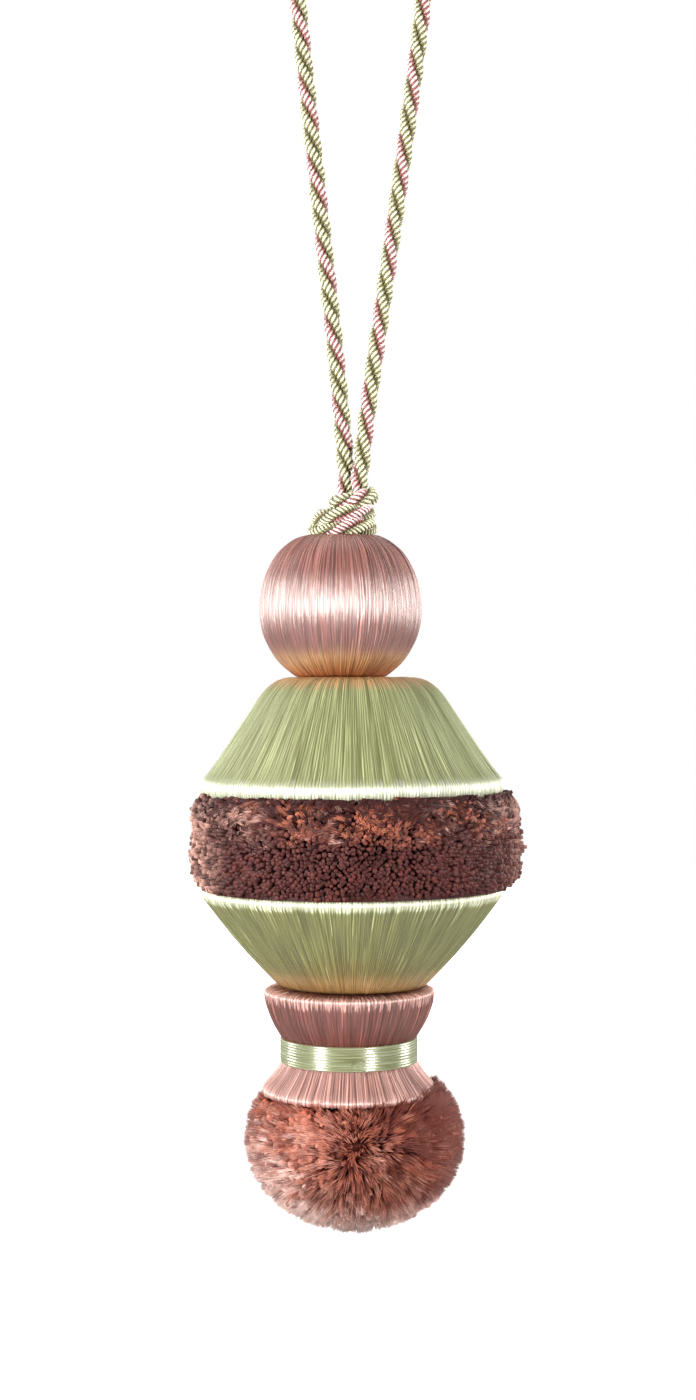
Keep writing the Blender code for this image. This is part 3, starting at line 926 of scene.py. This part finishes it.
class TASSEL_OT_cord(bpy.types.Operator):
    """Lay the looped three-ply cord"""

    bl_idname = "tassel.cord"
    bl_label = "Hanging cord"

    def execute(self, context):
        route = spline(np.array(CORD_ROUTE) * MM, 12)
        length = float(np.sum(np.linalg.norm(np.diff(route, axis=0), axis=1)))
        path = resample(route, int(length / ROUTE_STEP))
        travel = np.linspace(0.0, length, len(path))
        mesh = CordMesh()
        mesh.lay(
            path, np.tile([0.0, 1.0, 0.0], (len(path), 1)),
            pink_angle(travel),
            math.tau * travel / sizes().yarn_lay,
            sizes().cord_diameter,
        )
        cord = mesh.finish("hanging_cord_plies", "hanging_cord")
        return {"FINISHED"}


class TASSEL_OT_knot(bpy.types.Operator):
    """Wind the cord round the foot of its loop"""

    bl_idname = "tassel.knot"
    bl_label = "Knot"

    def execute(self, context):
        mesh = CordMesh()
        diameter = sizes().cord_diameter
        for x, height, radius, rise, nod, pink_place, twists in KNOT_WRAPS:
            normal = unit(np.array([-math.sin(math.radians(rise)), -math.sin(math.radians(nod)), 1.0]))
            right = unit(np.array([1.0, 0.0, 0.0]) - normal * normal[0])
            back = np.cross(normal, right)
            angle = math.tau * np.arange(WRAP_STEPS) / WRAP_STEPS
            path = np.array([x, 0.0, height]) + radius * (
                right * np.cos(angle)[:, None] + back * np.sin(angle)[:, None]
            )
            sway = 0.3 * np.sin(2.0 * angle + x * 5.0) + 0.15 * np.sin(3.0 * angle + height)
            path = (path + normal * sway[:, None]) * MM
            yarns_round = round(math.tau * radius * MM / (0.7 * sizes().yarn_lay))
            turns = math.tau * pink_place - twists * (angle + math.pi / 2)
            across = np.tile(normal, (WRAP_STEPS, 1))
            mesh.lay(path, across, turns, angle * yarns_round, diameter, closed=True)
        for sign, (foot, top) in ((-1, CORD_ROUTE[:2]), (1, CORD_ROUTE[:-3:-1])):
            foot, top = np.array(foot) * MM, np.array(top) * MM
            travel = np.linspace(-0.1 * MM, LEG_IN_KNOT, LEG_STEPS)
            path = (foot + unit(foot - top) * travel[:, None])[::sign]
            place = ((CORD_LENGTH if sign > 0 else 0.0) + sign * travel)[::sign]
            across = np.tile([0.0, 1.0, 0.0], (LEG_STEPS, 1))
            yarn_turns = math.tau * place / sizes().yarn_lay
            mesh.lay(path, across, pink_angle(place), yarn_turns, diameter)
        mesh.finish("knot_wraps", "cord_knot")
        return {"FINISHED"}


def thread_count(radius):
    """How many threads lie side by side round this radius."""
    return round(math.tau * radius / sizes().thread_width)


class TASSEL_OT_ball(bpy.types.Operator):
    """Cover the head ball with pink floss"""

    bl_idname = "tassel.ball"
    bl_label = "Head ball"

    def execute(self, context):
        axis, radius, top, _ = node_size("head_ball")
        threads = thread_count(radius)
        ball = wind_mould("ball_floss", BALL_OUTLINE, axis, top, threads, 42, level, 0.8, 3)
        tint = colours()
        # Tints: painted shade under the bright band, painted warm bounce light towards both ends, and
        # painted shade with warm bounce light where the ball meets the cone
        material = floss_material(
            "ball_floss", tint.pink_dark, tint.pink_light, threads, 4.0, tint.pink_gloss,
            [
                (0.48, 0.42, 0.6, tint.rose_shade), (0.338, 0.285, 0.85, tint.peach_bounce_light),
                (0.26, 0.19, 0.8, tint.amber_contact_shade), (0.86, 0.95, 0.5, tint.peach_bounce_light),
            ],
            roughness=0.46, gap=0.65, fray=0.05,
        )
        finish_piece(ball, material, "pink_floss", "head_ball")
        return {"FINISHED"}


class TASSEL_OT_cones(bpy.types.Operator):
    """Cover the two cones with sage green floss"""

    bl_idname = "tassel.cones"
    bl_label = "Cones"

    def execute(self, context):
        tint = colours()
        axis, radius, top, _ = node_size("upper_cone")
        threads = thread_count(0.95 * radius)
        upper = wind_mould(
            "upper_cone_floss", UPPER_CONE_OUTLINE, axis, top, threads, 28,
            lambda depth: depth / (UPPER_CONE_HEIGHT * MM), 0.35, 11,
        )
        # Tints: painted warm bounce light under the ball, and a painted highlight over the rim
        material = floss_material(
            "upper_cone_floss", tint.green_dark, tint.green_light, threads, 5.0, tint.green_gloss,
            [(0.752, 0.785, 0.85, tint.peach_bounce_light), (0.462, 0.45, 0.75, tint.cream_highlight)],
        )
        finish_piece(upper, material, "green_floss", "upper_cone")
        axis, radius, _, bottom = node_size("lower_cone")
        threads = thread_count(0.95 * radius)
        lower = wind_mould(
            "lower_cone_floss", LOWER_CONE_OUTLINE, axis, bottom + LOWER_CONE_HEIGHT * MM, threads, 26,
            lambda depth: 1.0 - depth / (LOWER_CONE_HEIGHT * MM), 0.35, 23,
        )
        # Tints: olive floss with painted shade under the rim, a golden cast with painted warm bounce light,
        # painted warm bounce light towards the foot, and a painted highlight over the rim
        material = floss_material(
            "lower_cone_floss", tint.green_dark, tint.green_light, threads, 5.0, tint.olive_gloss,
            [
                (0.541, 0.53, 0.8, tint.olive_shade), (0.42, 0.28, 0.35, tint.gold_bounce_light),
                (0.31, 0.25, 0.6, tint.peach_bounce_light), (0.538, 0.545, 0.75, tint.cream_highlight),
            ],
            roughness=0.42, tilt=0.04, gap=0.6, fray=0.012,
        )
        finish_piece(lower, material, "green_floss", "lower_cone")
        return {"FINISHED"}


class TASSEL_OT_spool(bpy.types.Operator):
    """Cover the spool with pink floss"""

    bl_idname = "tassel.spool"
    bl_label = "Spool"

    def execute(self, context):
        tint = colours()
        axis, radius, top, _ = node_size("spool")
        threads = thread_count(radius)
        spool = wind_mould("spool_floss", SPOOL_OUTLINE, axis, top, threads, 44, level, 1.4, 31)
        # Tints: painted light on the lower half and the flare, painted shade on the upper half, a painted
        # highlight on the top rim, and tan over the top
        material = floss_material(
            "spool_floss", tint.pink_dark, tint.pink_light, threads, 4.0, tint.mauve_gloss,
            [
                (0.48, 0.42, 0.6, tint.blush_light), (0.49, 0.53, 0.85, tint.mauve_shade),
                (0.675, 0.685, 0.85, tint.blush_light), (0.715, 0.735, 0.9, tint.tan),
                (0.345, 0.33, 0.6, tint.blush_light),
            ],
            depth=0.28 * MM, gap=0.9,
        )
        finish_piece(spool, material, "pink_floss", "spool")
        return {"FINISHED"}


class TASSEL_OT_binding(bpy.types.Operator):
    """Wind pale green floss round the spool's waist"""

    bl_idname = "tassel.binding"
    bl_label = "Waist binding"

    def execute(self, context):
        axis, radius, top, bottom = node_size("waist_binding")
        turns = sizes().binding_turns
        rows = turns * TURN_ROWS
        band, column, row = flat_sheet("binding_floss", BINDING_COLUMNS, rows + 2)
        inside = (row == 0) | (row == rows + 2)
        along = np.clip(row - 1, 0, rows) / rows
        across = column / BINDING_COLUMNS
        crest = np.sin(math.pi * ((along * turns) % 1.0)) ** 0.7
        crest[(row <= 1) | (row >= rows + 1)] = 0.0
        sway = drift(across, along * 2.0, 41) * np.sin(along * math.pi)
        reach = radius - 0.16 * MM + crest * 0.14 * MM + drift(across, along * 6.0, 43) * 0.05 * MM
        reach[inside] = radius - 1.2 * MM
        turn = math.pi / 2 + across * math.tau
        places = np.column_stack([
            axis + reach * np.cos(turn),
            reach * np.sin(turn),
            top + (bottom - top) * along + sway * 0.25 * MM,
        ])
        wrap_sheet(band, places, np.column_stack([along, across]))
        close_sheet(band, bridge=True)
        tint = colours()
        material = floss_material(
            "binding_floss", tint.green_dark, tint.pale_green, 9.0, 9.0, tint.green_gloss, [],
            roughness=0.29, tilt=0.0, depth=0.03 * MM,
        )
        finish_piece(band, material, "binding_floss", "waist_binding")
        self.add_loose_ends(axis, radius, top, bottom, material)
        return {"FINISHED"}

    def add_loose_ends(self, axis, radius, top, bottom, material):
        """A few fibres that have come loose in front, and a tail at the right."""
        chance = np.random.default_rng(45)
        front, tail = 9, 6
        turn = np.concatenate([
            -math.pi / 2 + chance.uniform(-0.25, 0.35, front), chance.uniform(-0.25, -0.05, tail)
        ])
        out = np.column_stack([np.cos(turn), np.sin(turn), np.zeros(front + tail)])
        roots = out * (radius - 0.1 * MM)
        roots[:, 0] += axis
        roots[:front, 2] = bottom + chance.uniform(0.2, 2.4, front) * MM
        roots[front:, 2] = top - chance.uniform(0.4, 1.2, tail) * MM
        sideways = np.column_stack([-np.sin(turn), np.cos(turn), np.zeros(front + tail)])
        reach = np.concatenate([chance.uniform(-2.6, 2.6, front), chance.uniform(0.6, 1.2, tail)])
        drop = np.concatenate([chance.uniform(-3.2, -1.0, front), chance.uniform(0.8, 1.9, tail)])
        tips = roots + out * 0.7 * MM + sideways * reach[:, None] * MM
        tips[:, 2] += drop * MM
        bends = chance.normal(0.0, 0.9, (front + tail, 3)) * MM
        widths = np.full(front + tail, 0.07 * MM)
        tones = np.full(front + tail, 0.9)
        ends = plant("binding_ends", *fibre(), roots, tips, widths, tones, tones, bends, 1, 46)
        finish_piece(ends, material, "binding_floss")


def taper(sides, stations):
    """One fibre or yarn end, one unit long, as points and faces. stations are its heights and radii."""
    deselect_all()
    (_, foot), (first_height, first_radius) = stations[:2]
    bpy.ops.mesh.primitive_cone_add(
        vertices=sides, radius1=foot, radius2=first_radius, depth=first_height, end_fill_type="NGON",
        location=(0.0, 0.0, first_height / 2),
    )
    template = bpy.context.object
    bpy.ops.object.transform_apply(location=True)
    bpy.ops.object.mode_set(mode="EDIT")
    for (low, before), (high, after) in zip(stations[1:-1], stations[2:]):
        bpy.ops.mesh.select_all(action="DESELECT")
        shape = bmesh.from_edit_mesh(template.data)
        for face in shape.faces:
            face.select_set(all(point.co.z > low - 1e-4 for point in face.verts))
        bmesh.update_edit_mesh(template.data)
        bpy.ops.mesh.extrude_region_move(TRANSFORM_OT_translate={"value": (0.0, 0.0, high - low)})
        if after > 0.0:
            bpy.ops.transform.resize(value=(after / before, after / before, 1.0))
        else:
            bpy.ops.mesh.merge(type="CENTER")
    bpy.ops.object.mode_set(mode="OBJECT")
    points = np.array([tuple(point.co) for point in template.data.vertices])
    faces = [tuple(face.vertices) for face in template.data.polygons]
    bpy.data.objects.remove(template, do_unlink=True)
    return points, faces


def plant(name, shape, faces, roots, tips, widths, tones, tints, bends, cap, seed):
    """Copies of one yarn end from roots to tips, each turned, bent, tinted and made uneven, as one mesh.

    A higher cap keeps the painted light to the very tips, and the painted shade of the roots over more of
    each end.
    """
    chance = np.random.default_rng(seed)
    count = len(roots)
    along = tips - roots
    spin = chance.uniform(0.0, math.tau, count)
    upright = np.abs(along[:, 2:3]) > 0.8 * np.linalg.norm(along, axis=1)[:, None]
    side = unit(np.cross(along, np.where(upright, [[1.0, 0.0, 0.0]], [[0.0, 0.0, 1.0]])))
    rise = unit(np.cross(along, side))
    first = side * np.cos(spin)[:, None] + rise * np.sin(spin)[:, None]
    second = rise * np.cos(spin)[:, None] - side * np.sin(spin)[:, None]
    uneven = chance.uniform(0.8, 1.2, (count, len(shape), 2))
    points = (
        roots[:, None, :]
        + along[:, None, :] * shape[None, :, 2:3]
        + bends[:, None, :] * (shape[None, :, 2:3] ** 2)
        + first[:, None, :] * (shape[None, :, 0] * uneven[..., 0] * widths[:, None])[..., None]
        + second[:, None, :] * (shape[None, :, 1] * uneven[..., 1] * widths[:, None])[..., None]
    ).reshape(-1, 3)
    flat = np.concatenate([np.array(face) for face in faces])
    corners = (flat[None, :] + np.arange(count)[:, None] * len(shape)).ravel()
    face_sizes = np.tile([len(face) for face in faces], count)
    shares = np.tile(held(shape[:, 2]) ** cap, count)
    maps = np.column_stack([np.repeat(tones, len(shape)), shares])
    piece = mesh_from_arrays(name, points, corners, face_sizes, maps)
    layer = piece.data.attributes.new("tint", "FLOAT", "POINT")
    layer.data.foreach_set("value", np.repeat(tints, len(shape)))
    return piece


def yarn_end():
    """A cut yarn end with a round head."""
    return taper(5, [(0.0, 0.7), (0.85, 1.0), (0.96, 0.72), (1.0, 0.0)])


def fibre():
    """One fibre, drawn out to a point."""
    return taper(3, [(0.0, 0.8), (1.0, 0.0)])


def drift_at(points, cell, seed):
    """Smooth noise vectors at points, in cells of this size.

    Blender shifts them by random numbers taken from the clock, so its seed is set first.
    """
    noise.seed_set(NOISE_SEED)
    shift = Vector((seed, 0.0, 0.0))
    return np.array([tuple(noise.noise_vector(Vector(point / cell) + shift)) for point in points])


def join_core(pile, core):
    """Join a pile's inner form to it, all in the painted shade of the pile's roots."""
    name = pile.name
    layer = core.data.uv_layers.active or core.data.uv_layers.new()
    layer.name = "winding"
    layer.data.foreach_set("uv", np.zeros(len(core.data.loops) * 2, np.float32))
    select_only(pile)
    core.select_set(True)
    bpy.ops.object.join()
    pile.name = pile.data.name = name
    deselect_all()


def tuft_fibres(name, roots, tips, tints, tones, spray, trim, chance, seed):
    """Tufts of fibres: each leaves its tuft's root and ends near its tuft's tip, where trim cuts it."""
    each = FIBRES_IN_A_TUFT
    roots, tips = np.repeat(roots, each, axis=0), np.repeat(tips, each, axis=0)
    count = len(roots)
    stray = chance.normal(0.0, 1.0, (count, 3))
    roots = roots + stray * 0.14 * MM
    tips = trim(tips + stray * np.repeat(spray, each)[:, None])
    tones = held(np.repeat(tones, each) + chance.uniform(-0.22, 0.22, count))
    tints = np.repeat(tints, each) + chance.normal(0.0, 0.18, count)
    widths = chance.uniform(0.14, 0.24, count) * MM
    return plant(name, *fibre(), roots, tips, widths, tones, tints, np.zeros((count, 3)), 1, seed)


class TASSEL_OT_ruff(bpy.types.Operator):
    """Plant the ruff of cut pile between the cones"""

    bl_idname = "tassel.ruff"
    bl_label = "Pile ruff"

    def execute(self, context):
        low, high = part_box("pile_ruff")
        self.axis = (low.x + high.x) / 2 + 0.1 * MM
        top = high.z - RUFF_RADIUS * LEAN
        bottom = low.z + RUFF_RADIUS * LEAN
        self.middle, self.half = (top + bottom) / 2, (top - bottom) / 2
        spacing = sizes().pile_width
        rows = int(round((top - bottom + 3.0 * MM) / (spacing * ROW_SHARE)))
        columns = int(round(math.tau * RUFF_RADIUS / spacing))
        chance = np.random.default_rng(5)
        row, column = np.divmod(np.arange(rows * columns), columns)
        count = len(row)
        turn = (column + 0.5 * (row % 2) + chance.uniform(-0.35, 0.35, count)) / columns * math.tau
        share = (row + 0.5 + chance.uniform(-0.35, 0.35, count)) / rows
        roots, tips, out = self.places(turn, share)
        fine = drift_at(tips, 1.2 * MM, 8.0)
        tones = held(0.5 + fine[:, 0] * 0.8 + chance.uniform(-0.25, 0.25, count))
        widths = spacing * 0.52 * chance.uniform(0.85, 1.15, count)
        tints = np.minimum(self.tints(turn, share, tips), 0.45)
        tips -= out * (1.0 * MM * held(1.1 - share / 0.4))[:, None]
        uneven = chance.normal(0.0, 0.18, count) * (1.0 + 1.6 * self.aside(turn))
        tips += out * uneven[:, None] * MM
        self.lean(roots, tips)
        pile = plant("ruff_pile", *yarn_end(), roots, tips, widths, tones, tints, fine * 0.3 * MM, 3, 6)

        centre = (self.axis, 0.0, self.middle)
        bpy.ops.mesh.primitive_cylinder_add(
            vertices=96, radius=RUFF_RADIUS - 1.9 * MM, depth=2 * self.half - 1.4 * MM, location=centre
        )
        core = context.object
        bpy.ops.object.transform_apply(location=True)
        for point in core.data.vertices:
            point.co.z += (point.co.x - self.axis) * LEAN
        join_core(pile, core)
        tint = colours()
        material = pile_material(
            "ruff_pile", tint.ruff_root_shade, tint.ruff_tip, tint.ruff_warm_highlight, tint.ruff_pale_sheen,
            centre, (1.0, 1.0, 0.35), 0.15,
        )
        finish_piece(pile, material, "ruff_pile", "pile_ruff")

        tufts = RUFF_TUFTS
        turn = chance.uniform(0.0, math.tau, tufts)
        share = held(chance.beta(0.75, 2.0, tufts))
        roots, tips, out = self.places(turn, share)
        tangent = np.column_stack([-np.sin(turn), np.cos(turn), np.zeros(tufts)])
        comb = drift_at(tips, 8.0 * MM, 21.0)
        tuft = chance.normal(0.0, 1.0, (tufts, 2))
        tints = self.tints(turn, share, tips)
        loose = np.clip(1.4 - 2.4 * share, 0.1, 1.0)
        roots += (tips - roots) * (0.3 + 0.5 * loose)[:, None]
        tips += tangent * (loose * (comb[:, 0] * 6.5 + tuft[:, 0] * 1.2))[:, None] * MM
        tips[:, 2] += loose * (comb[:, 1] * 3.5 + tuft[:, 1] * 0.8 + 0.4) * MM
        aside = self.aside(turn)
        # Painted warm highlight on the loose fibres, painted pale sheen towards the ends, and random pale
        # strands as painted highlights
        tints += 0.3 * loose * (1.0 - aside + comb[:, 1]) - 0.8 * loose * aside
        tints -= 0.8 * (chance.random(tufts) < 0.3 * loose)
        tones = 0.78 + comb[:, 2] * 0.5 + chance.uniform(-0.6, 0.6, tufts)
        self.lean(roots, tips)

        def trim(tips):
            """Cut the fibres on the ruff's round side and its rounded corners."""
            heights = np.clip(tips[:, 2] - tips[:, 0] * LEAN, bottom + 0.5 * MM, top + 0.9 * MM)
            edge = (self.middle - heights) / self.half
            aside, depth = tips[:, 0] - self.axis, tips[:, 1]
            rough = drift_at(tips, 4.0 * MM, 71.0)[:, 0] * 0.6 + chance.uniform(-0.25, 0.15, len(tips))
            share = (self.reach_at(edge) + rough * MM) / np.hypot(aside, depth)
            return np.column_stack([self.axis + aside * share, depth * share, heights + tips[:, 0] * LEAN])

        spray = np.full(tufts, 0.25 * MM)
        fibres = tuft_fibres("ruff_fibres", roots, tips, tints, tones, spray, trim, chance, 7)
        finish_piece(fibres, material, "ruff_pile")
        return {"FINISHED"}

    def tints(self, turn, share, tips):
        """Painted warm highlight along the top, in patches, and painted pale sheen at the left and right
        ends.
        """
        patches = drift_at(tips, 6.0 * MM, 51.0)[:, 0]
        warm = held(1.3 - share / 0.36) * held(0.6 + patches * 2.0)
        left = held((-np.cos(turn) - 0.72) / 0.28)
        right = held((np.cos(turn) - 0.8) / 0.2)
        pale = left * (0.85 + patches * 0.6) + right * (0.4 + patches * 0.3)
        return warm * (1.0 - left) - pale + patches * 0.25

    def aside(self, turn):
        """How far turns lie towards the ruff's left and right ends."""
        return held(np.abs(np.cos(turn)) * 1.4 - 0.4)

    def places(self, turn, share):
        """Roots, tips and outward ways of pile ends at turns round the ruff and shares from its top."""
        edge = (share - 0.5) * 2.0
        out = np.column_stack([np.cos(turn), np.sin(turn), np.zeros(len(turn))])
        tips = out * self.reach_at(edge)[:, None]
        tips[:, 2] = self.middle - edge * (self.half + np.where(edge > 0.0, -1.0 * MM, 0.25 * MM))
        tips[:, 2] += 0.9 * MM * held(-edge) ** 4
        roots = out * (RUFF_RADIUS - 4.2 * MM)
        roots[:, 2] = self.middle - edge * (self.half - 1.6 * MM)
        clumps = drift_at(tips, 3.6 * MM, 2.0)
        tips += clumps * 0.7 * MM
        tips += out * (drift_at(tips, 7.0 * MM, 4.0)[:, 0] * 0.5 * MM)[:, None]
        return roots, tips, out

    def reach_at(self, edge):
        """The ruff's radius at a share from its middle to its edges, down to 1 and up to -1."""
        round_off = 1.7 * MM * np.minimum(np.abs(edge), 1.2) ** 6
        return RUFF_RADIUS + 0.35 * MM * (1.0 - edge) - round_off

    def lean(self, *places):
        """Tilt points with the rims, and move them to the ruff's axis."""
        for place in places:
            place[:, 2] += place[:, 0] * LEAN
            place[:, 0] += self.axis


class TASSEL_OT_pompom(bpy.types.Operator):
    """Plant the pompom under the spool"""

    bl_idname = "tassel.pompom"
    bl_label = "Pompom"

    def execute(self, context):
        low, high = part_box("pompom")
        self.axis, _, _, spool_bottom = node_size("spool")
        self.roof = spool_bottom - 0.4 * MM
        self.centre = np.array([(low.x + high.x) / 2 + 0.2 * MM, 0.0, low.z + 17.1 * MM])
        self.reach = np.array(POMPOM_REACH)
        self.crown = unit(np.array(POMPOM_CROWN))
        chance = np.random.default_rng(9)
        count = POMPOM_ENDS
        ways = self.spread(count, chance)
        clumps = self.drift_over(ways, 4.0, 3.0)
        fine = self.drift_over(ways, 1.3, 7.0)
        near = ways @ self.crown
        fullness = 0.83 + 0.09 * self.rounded(ways) - 0.04 * held((near - 0.93) / 0.07)
        fullness += clumps[:, 0] * 0.03 + fine[:, 0] * 0.02
        tips = self.centre + ways * self.reach * fullness[:, None]
        tips += clumps * 0.9 * MM + fine * 0.4 * MM
        roots = self.centre + ways * self.reach * np.array([0.72, 0.72, 0.62])
        keep = self.clear_of_spool(ways, tips, roots)
        tones = 0.45 + fine[:, 0] * 0.7 + clumps[:, 1] * 0.4
        tones = held(tones + chance.uniform(-0.2, 0.2, count))
        # Painted shade at the crown and on the shaded side
        tones *= (1.0 - 0.3 * held((near - 0.9) / 0.1)) * (1.0 - 0.8 * self.shaded(ways))
        widths = (0.56 + 0.12 * self.rounded(ways)) * MM * chance.uniform(0.85, 1.2, count)
        pile = plant(
            "pompom_pile", *yarn_end(), roots[keep], tips[keep], widths[keep], tones[keep],
            self.tints(ways)[keep], fine[keep] * 0.6 * MM, 3, 12,
        )
        bpy.ops.mesh.primitive_uv_sphere_add(segments=48, ring_count=24, radius=1.0)
        core = context.object
        for point in core.data.vertices:
            spot = np.array(tuple(point.co)) * self.reach * POMPOM_CORE + self.centre
            spot[2] = min(spot[2], self.roof - 0.6 * MM)
            point.co = spot
        join_core(pile, core)
        tint = colours()
        material = pile_material(
            "pompom_pile", tint.pompom_root_shade, tint.pompom_tip, tint.pompom_rust_shade, tint.pompom_pale_light,
            self.centre, (1.0, 1.0, 1.2), 0.22,
        )
        finish_piece(pile, material, "pompom_pile", "pompom")

        tufts = POMPOM_TUFTS
        ways = self.spread(tufts, chance)
        comb = self.drift_over(ways, 5.0, 31.0)
        tuft = self.drift_over(ways, 1.6, 37.0)
        near = ways @ self.crown
        parting = unit(ways - near[:, None] * self.crown)
        away = np.arccos(np.clip(near, -1.0, 1.0))
        leaning = held((near + 0.2) / 0.6) * 0.24 * (1.0 - np.exp(-(away / 0.5) ** 2))
        lying = unit(ways + parting * leaning[:, None] + comb * 0.18 + tuft * 0.10)
        fullness = 0.98 + tuft[:, 0] * 0.02
        tips = self.centre + lying * self.reach * fullness[:, None]
        roots = self.centre + ways * self.reach * 0.78
        keep = self.clear_of_spool(ways, tips, roots)
        # Painted shade on the shaded side and at the left, and painted light at the foot
        tones = 0.78 + tuft[:, 1] * 0.7 + comb[:, 1] * 0.4 - 1.1 * self.shaded(ways)
        tones += chance.uniform(-0.45, 0.45, tufts) + 0.9 * held(-ways[:, 2] * 2.0 - 0.8)
        tones -= 0.5 * held(-ways[:, 0] * 2.0 - 0.8)
        # Pale strands as painted highlights, only away from the painted shade
        tints = self.tints(ways) - 0.5 * (chance.random(tufts) < 0.35 * (1.0 - self.shaded(ways)))
        tints += chance.normal(0.0, 0.4, tufts) * self.rounded(ways)

        def trim(tips):
            """Cut the fibres on the pompom's round outline."""
            away = (tips - self.centre) / self.reach
            share = np.linalg.norm(away, axis=1)
            return self.centre + (tips - self.centre) * (np.minimum(share, 1.0) / share)[:, None]

        spray = (0.45 - 0.2 * self.rounded(ways[keep])) * MM
        fibres = tuft_fibres(
            "pompom_fibres", roots[keep], tips[keep], tints[keep], tones[keep], spray, trim, chance, 13,
        )
        finish_piece(fibres, material, "pompom_pile")
        return {"FINISHED"}

    def drift_over(self, ways, cell, seed):
        """Smooth noise vectors over the pompom's ball, in cells of this many millimetres."""
        return drift_at(ways * NOISE_RADIUS, cell * MM, seed)

    def rounded(self, ways):
        """How much the yarn ends stay round in a direction: less towards the crown."""
        left = held((-ways[:, 0] - 0.2) / 0.3)
        right = np.clip((ways[:, 0] - 0.6) / 0.3, 0.0, 0.8)
        foot = held((-ways[:, 2] - 0.5) / 0.3)
        return held(left + right + foot)

    def shaded(self, ways):
        """How much painted shade the pile gets in a direction: darker towards the right and the top."""
        return held(ways[:, 0] * 1.6 + ways[:, 2] * 0.6 - 0.3)

    def tints(self, ways):
        """Rust deepened with painted shade round the crown and to the right, and painted pale light towards
        the left and the foot.
        """
        near = held(ways @ self.crown)
        patches = self.drift_over(ways, 5.0, 61.0)[:, 0]
        side = -0.1 - ways[:, 0] * 0.55 - ways[:, 2] * 1.9
        return near**3 * 0.5 - (1.0 - near**3) * np.clip(side, -0.8, 1.3) + patches * 0.6

    def spread(self, count, chance):
        """Directions spread evenly over a ball, a little out of line."""
        step = np.arange(count) + 0.5
        height = 1.0 - 2.0 * step / count
        turn = step * math.pi * (3.0 - math.sqrt(5.0))
        flat = np.sqrt(1.0 - height**2)
        ways = np.column_stack([flat * np.cos(turn), flat * np.sin(turn), height])
        ways += chance.normal(0.0, 0.014, ways.shape)
        return unit(ways)

    def clear_of_spool(self, ways, tips, roots):
        """Which ends stay clear of the spool. Roots under it are brought below it."""
        away = np.hypot(tips[:, 0] - self.axis, tips[:, 1])
        under = roots[:, 2] > self.roof - 1.0 * MM
        roots[under, 2] = self.roof - 1.0 * MM
        beside = (tips[:, 2] < self.roof) | (away > SPOOL_CLEARANCE)
        return beside & (ways[:, 2] < HIGHEST_WAY)


STEPS = (
    TASSEL_OT_stage,
    TASSEL_OT_cord,
    TASSEL_OT_knot,
    TASSEL_OT_ball,
    TASSEL_OT_cones,
    TASSEL_OT_ruff,
    TASSEL_OT_spool,
    TASSEL_OT_binding,
    TASSEL_OT_pompom,
)


class TASSEL_PT_panel(bpy.types.Panel):
    """Lists the tassel's pieces, sizes and colours"""

    bl_label = "Key Tassel"
    bl_space_type = "VIEW_3D"
    bl_region_type = "UI"
    bl_category = "Tassel"

    def draw(self, context):
        for step in STEPS:
            self.layout.operator(step.bl_idname)
        for group in (context.scene.tassel_sizes, context.scene.tassel_colours):
            for name in group.bl_rna.properties.keys():
                if name not in {"rna_type", "name"}:
                    self.layout.prop(group, name)


def register():
    """Add the classes and the scene's settings."""
    for made in (TasselSizes, TasselColours, *STEPS, TASSEL_PT_panel):
        bpy.utils.register_class(made)
    bpy.types.Scene.tassel_sizes = PointerProperty(type=TasselSizes)
    bpy.types.Scene.tassel_colours = PointerProperty(type=TasselColours)


def unregister():
    """Take the classes and the scene's settings away."""
    del bpy.types.Scene.tassel_sizes
    del bpy.types.Scene.tassel_colours
    for made in reversed((TasselSizes, TasselColours, *STEPS, TASSEL_PT_panel)):
        bpy.utils.unregister_class(made)


def main():
    """Make every piece."""
    register()
    bpy.ops.tassel.stage()
    bpy.ops.tassel.cord()
    bpy.ops.tassel.knot()
    bpy.ops.tassel.ball()
    bpy.ops.tassel.cones()
    bpy.ops.tassel.ruff()
    bpy.ops.tassel.spool()
    bpy.ops.tassel.binding()
    bpy.ops.tassel.pompom()


if __name__ == "__main__":
    main()
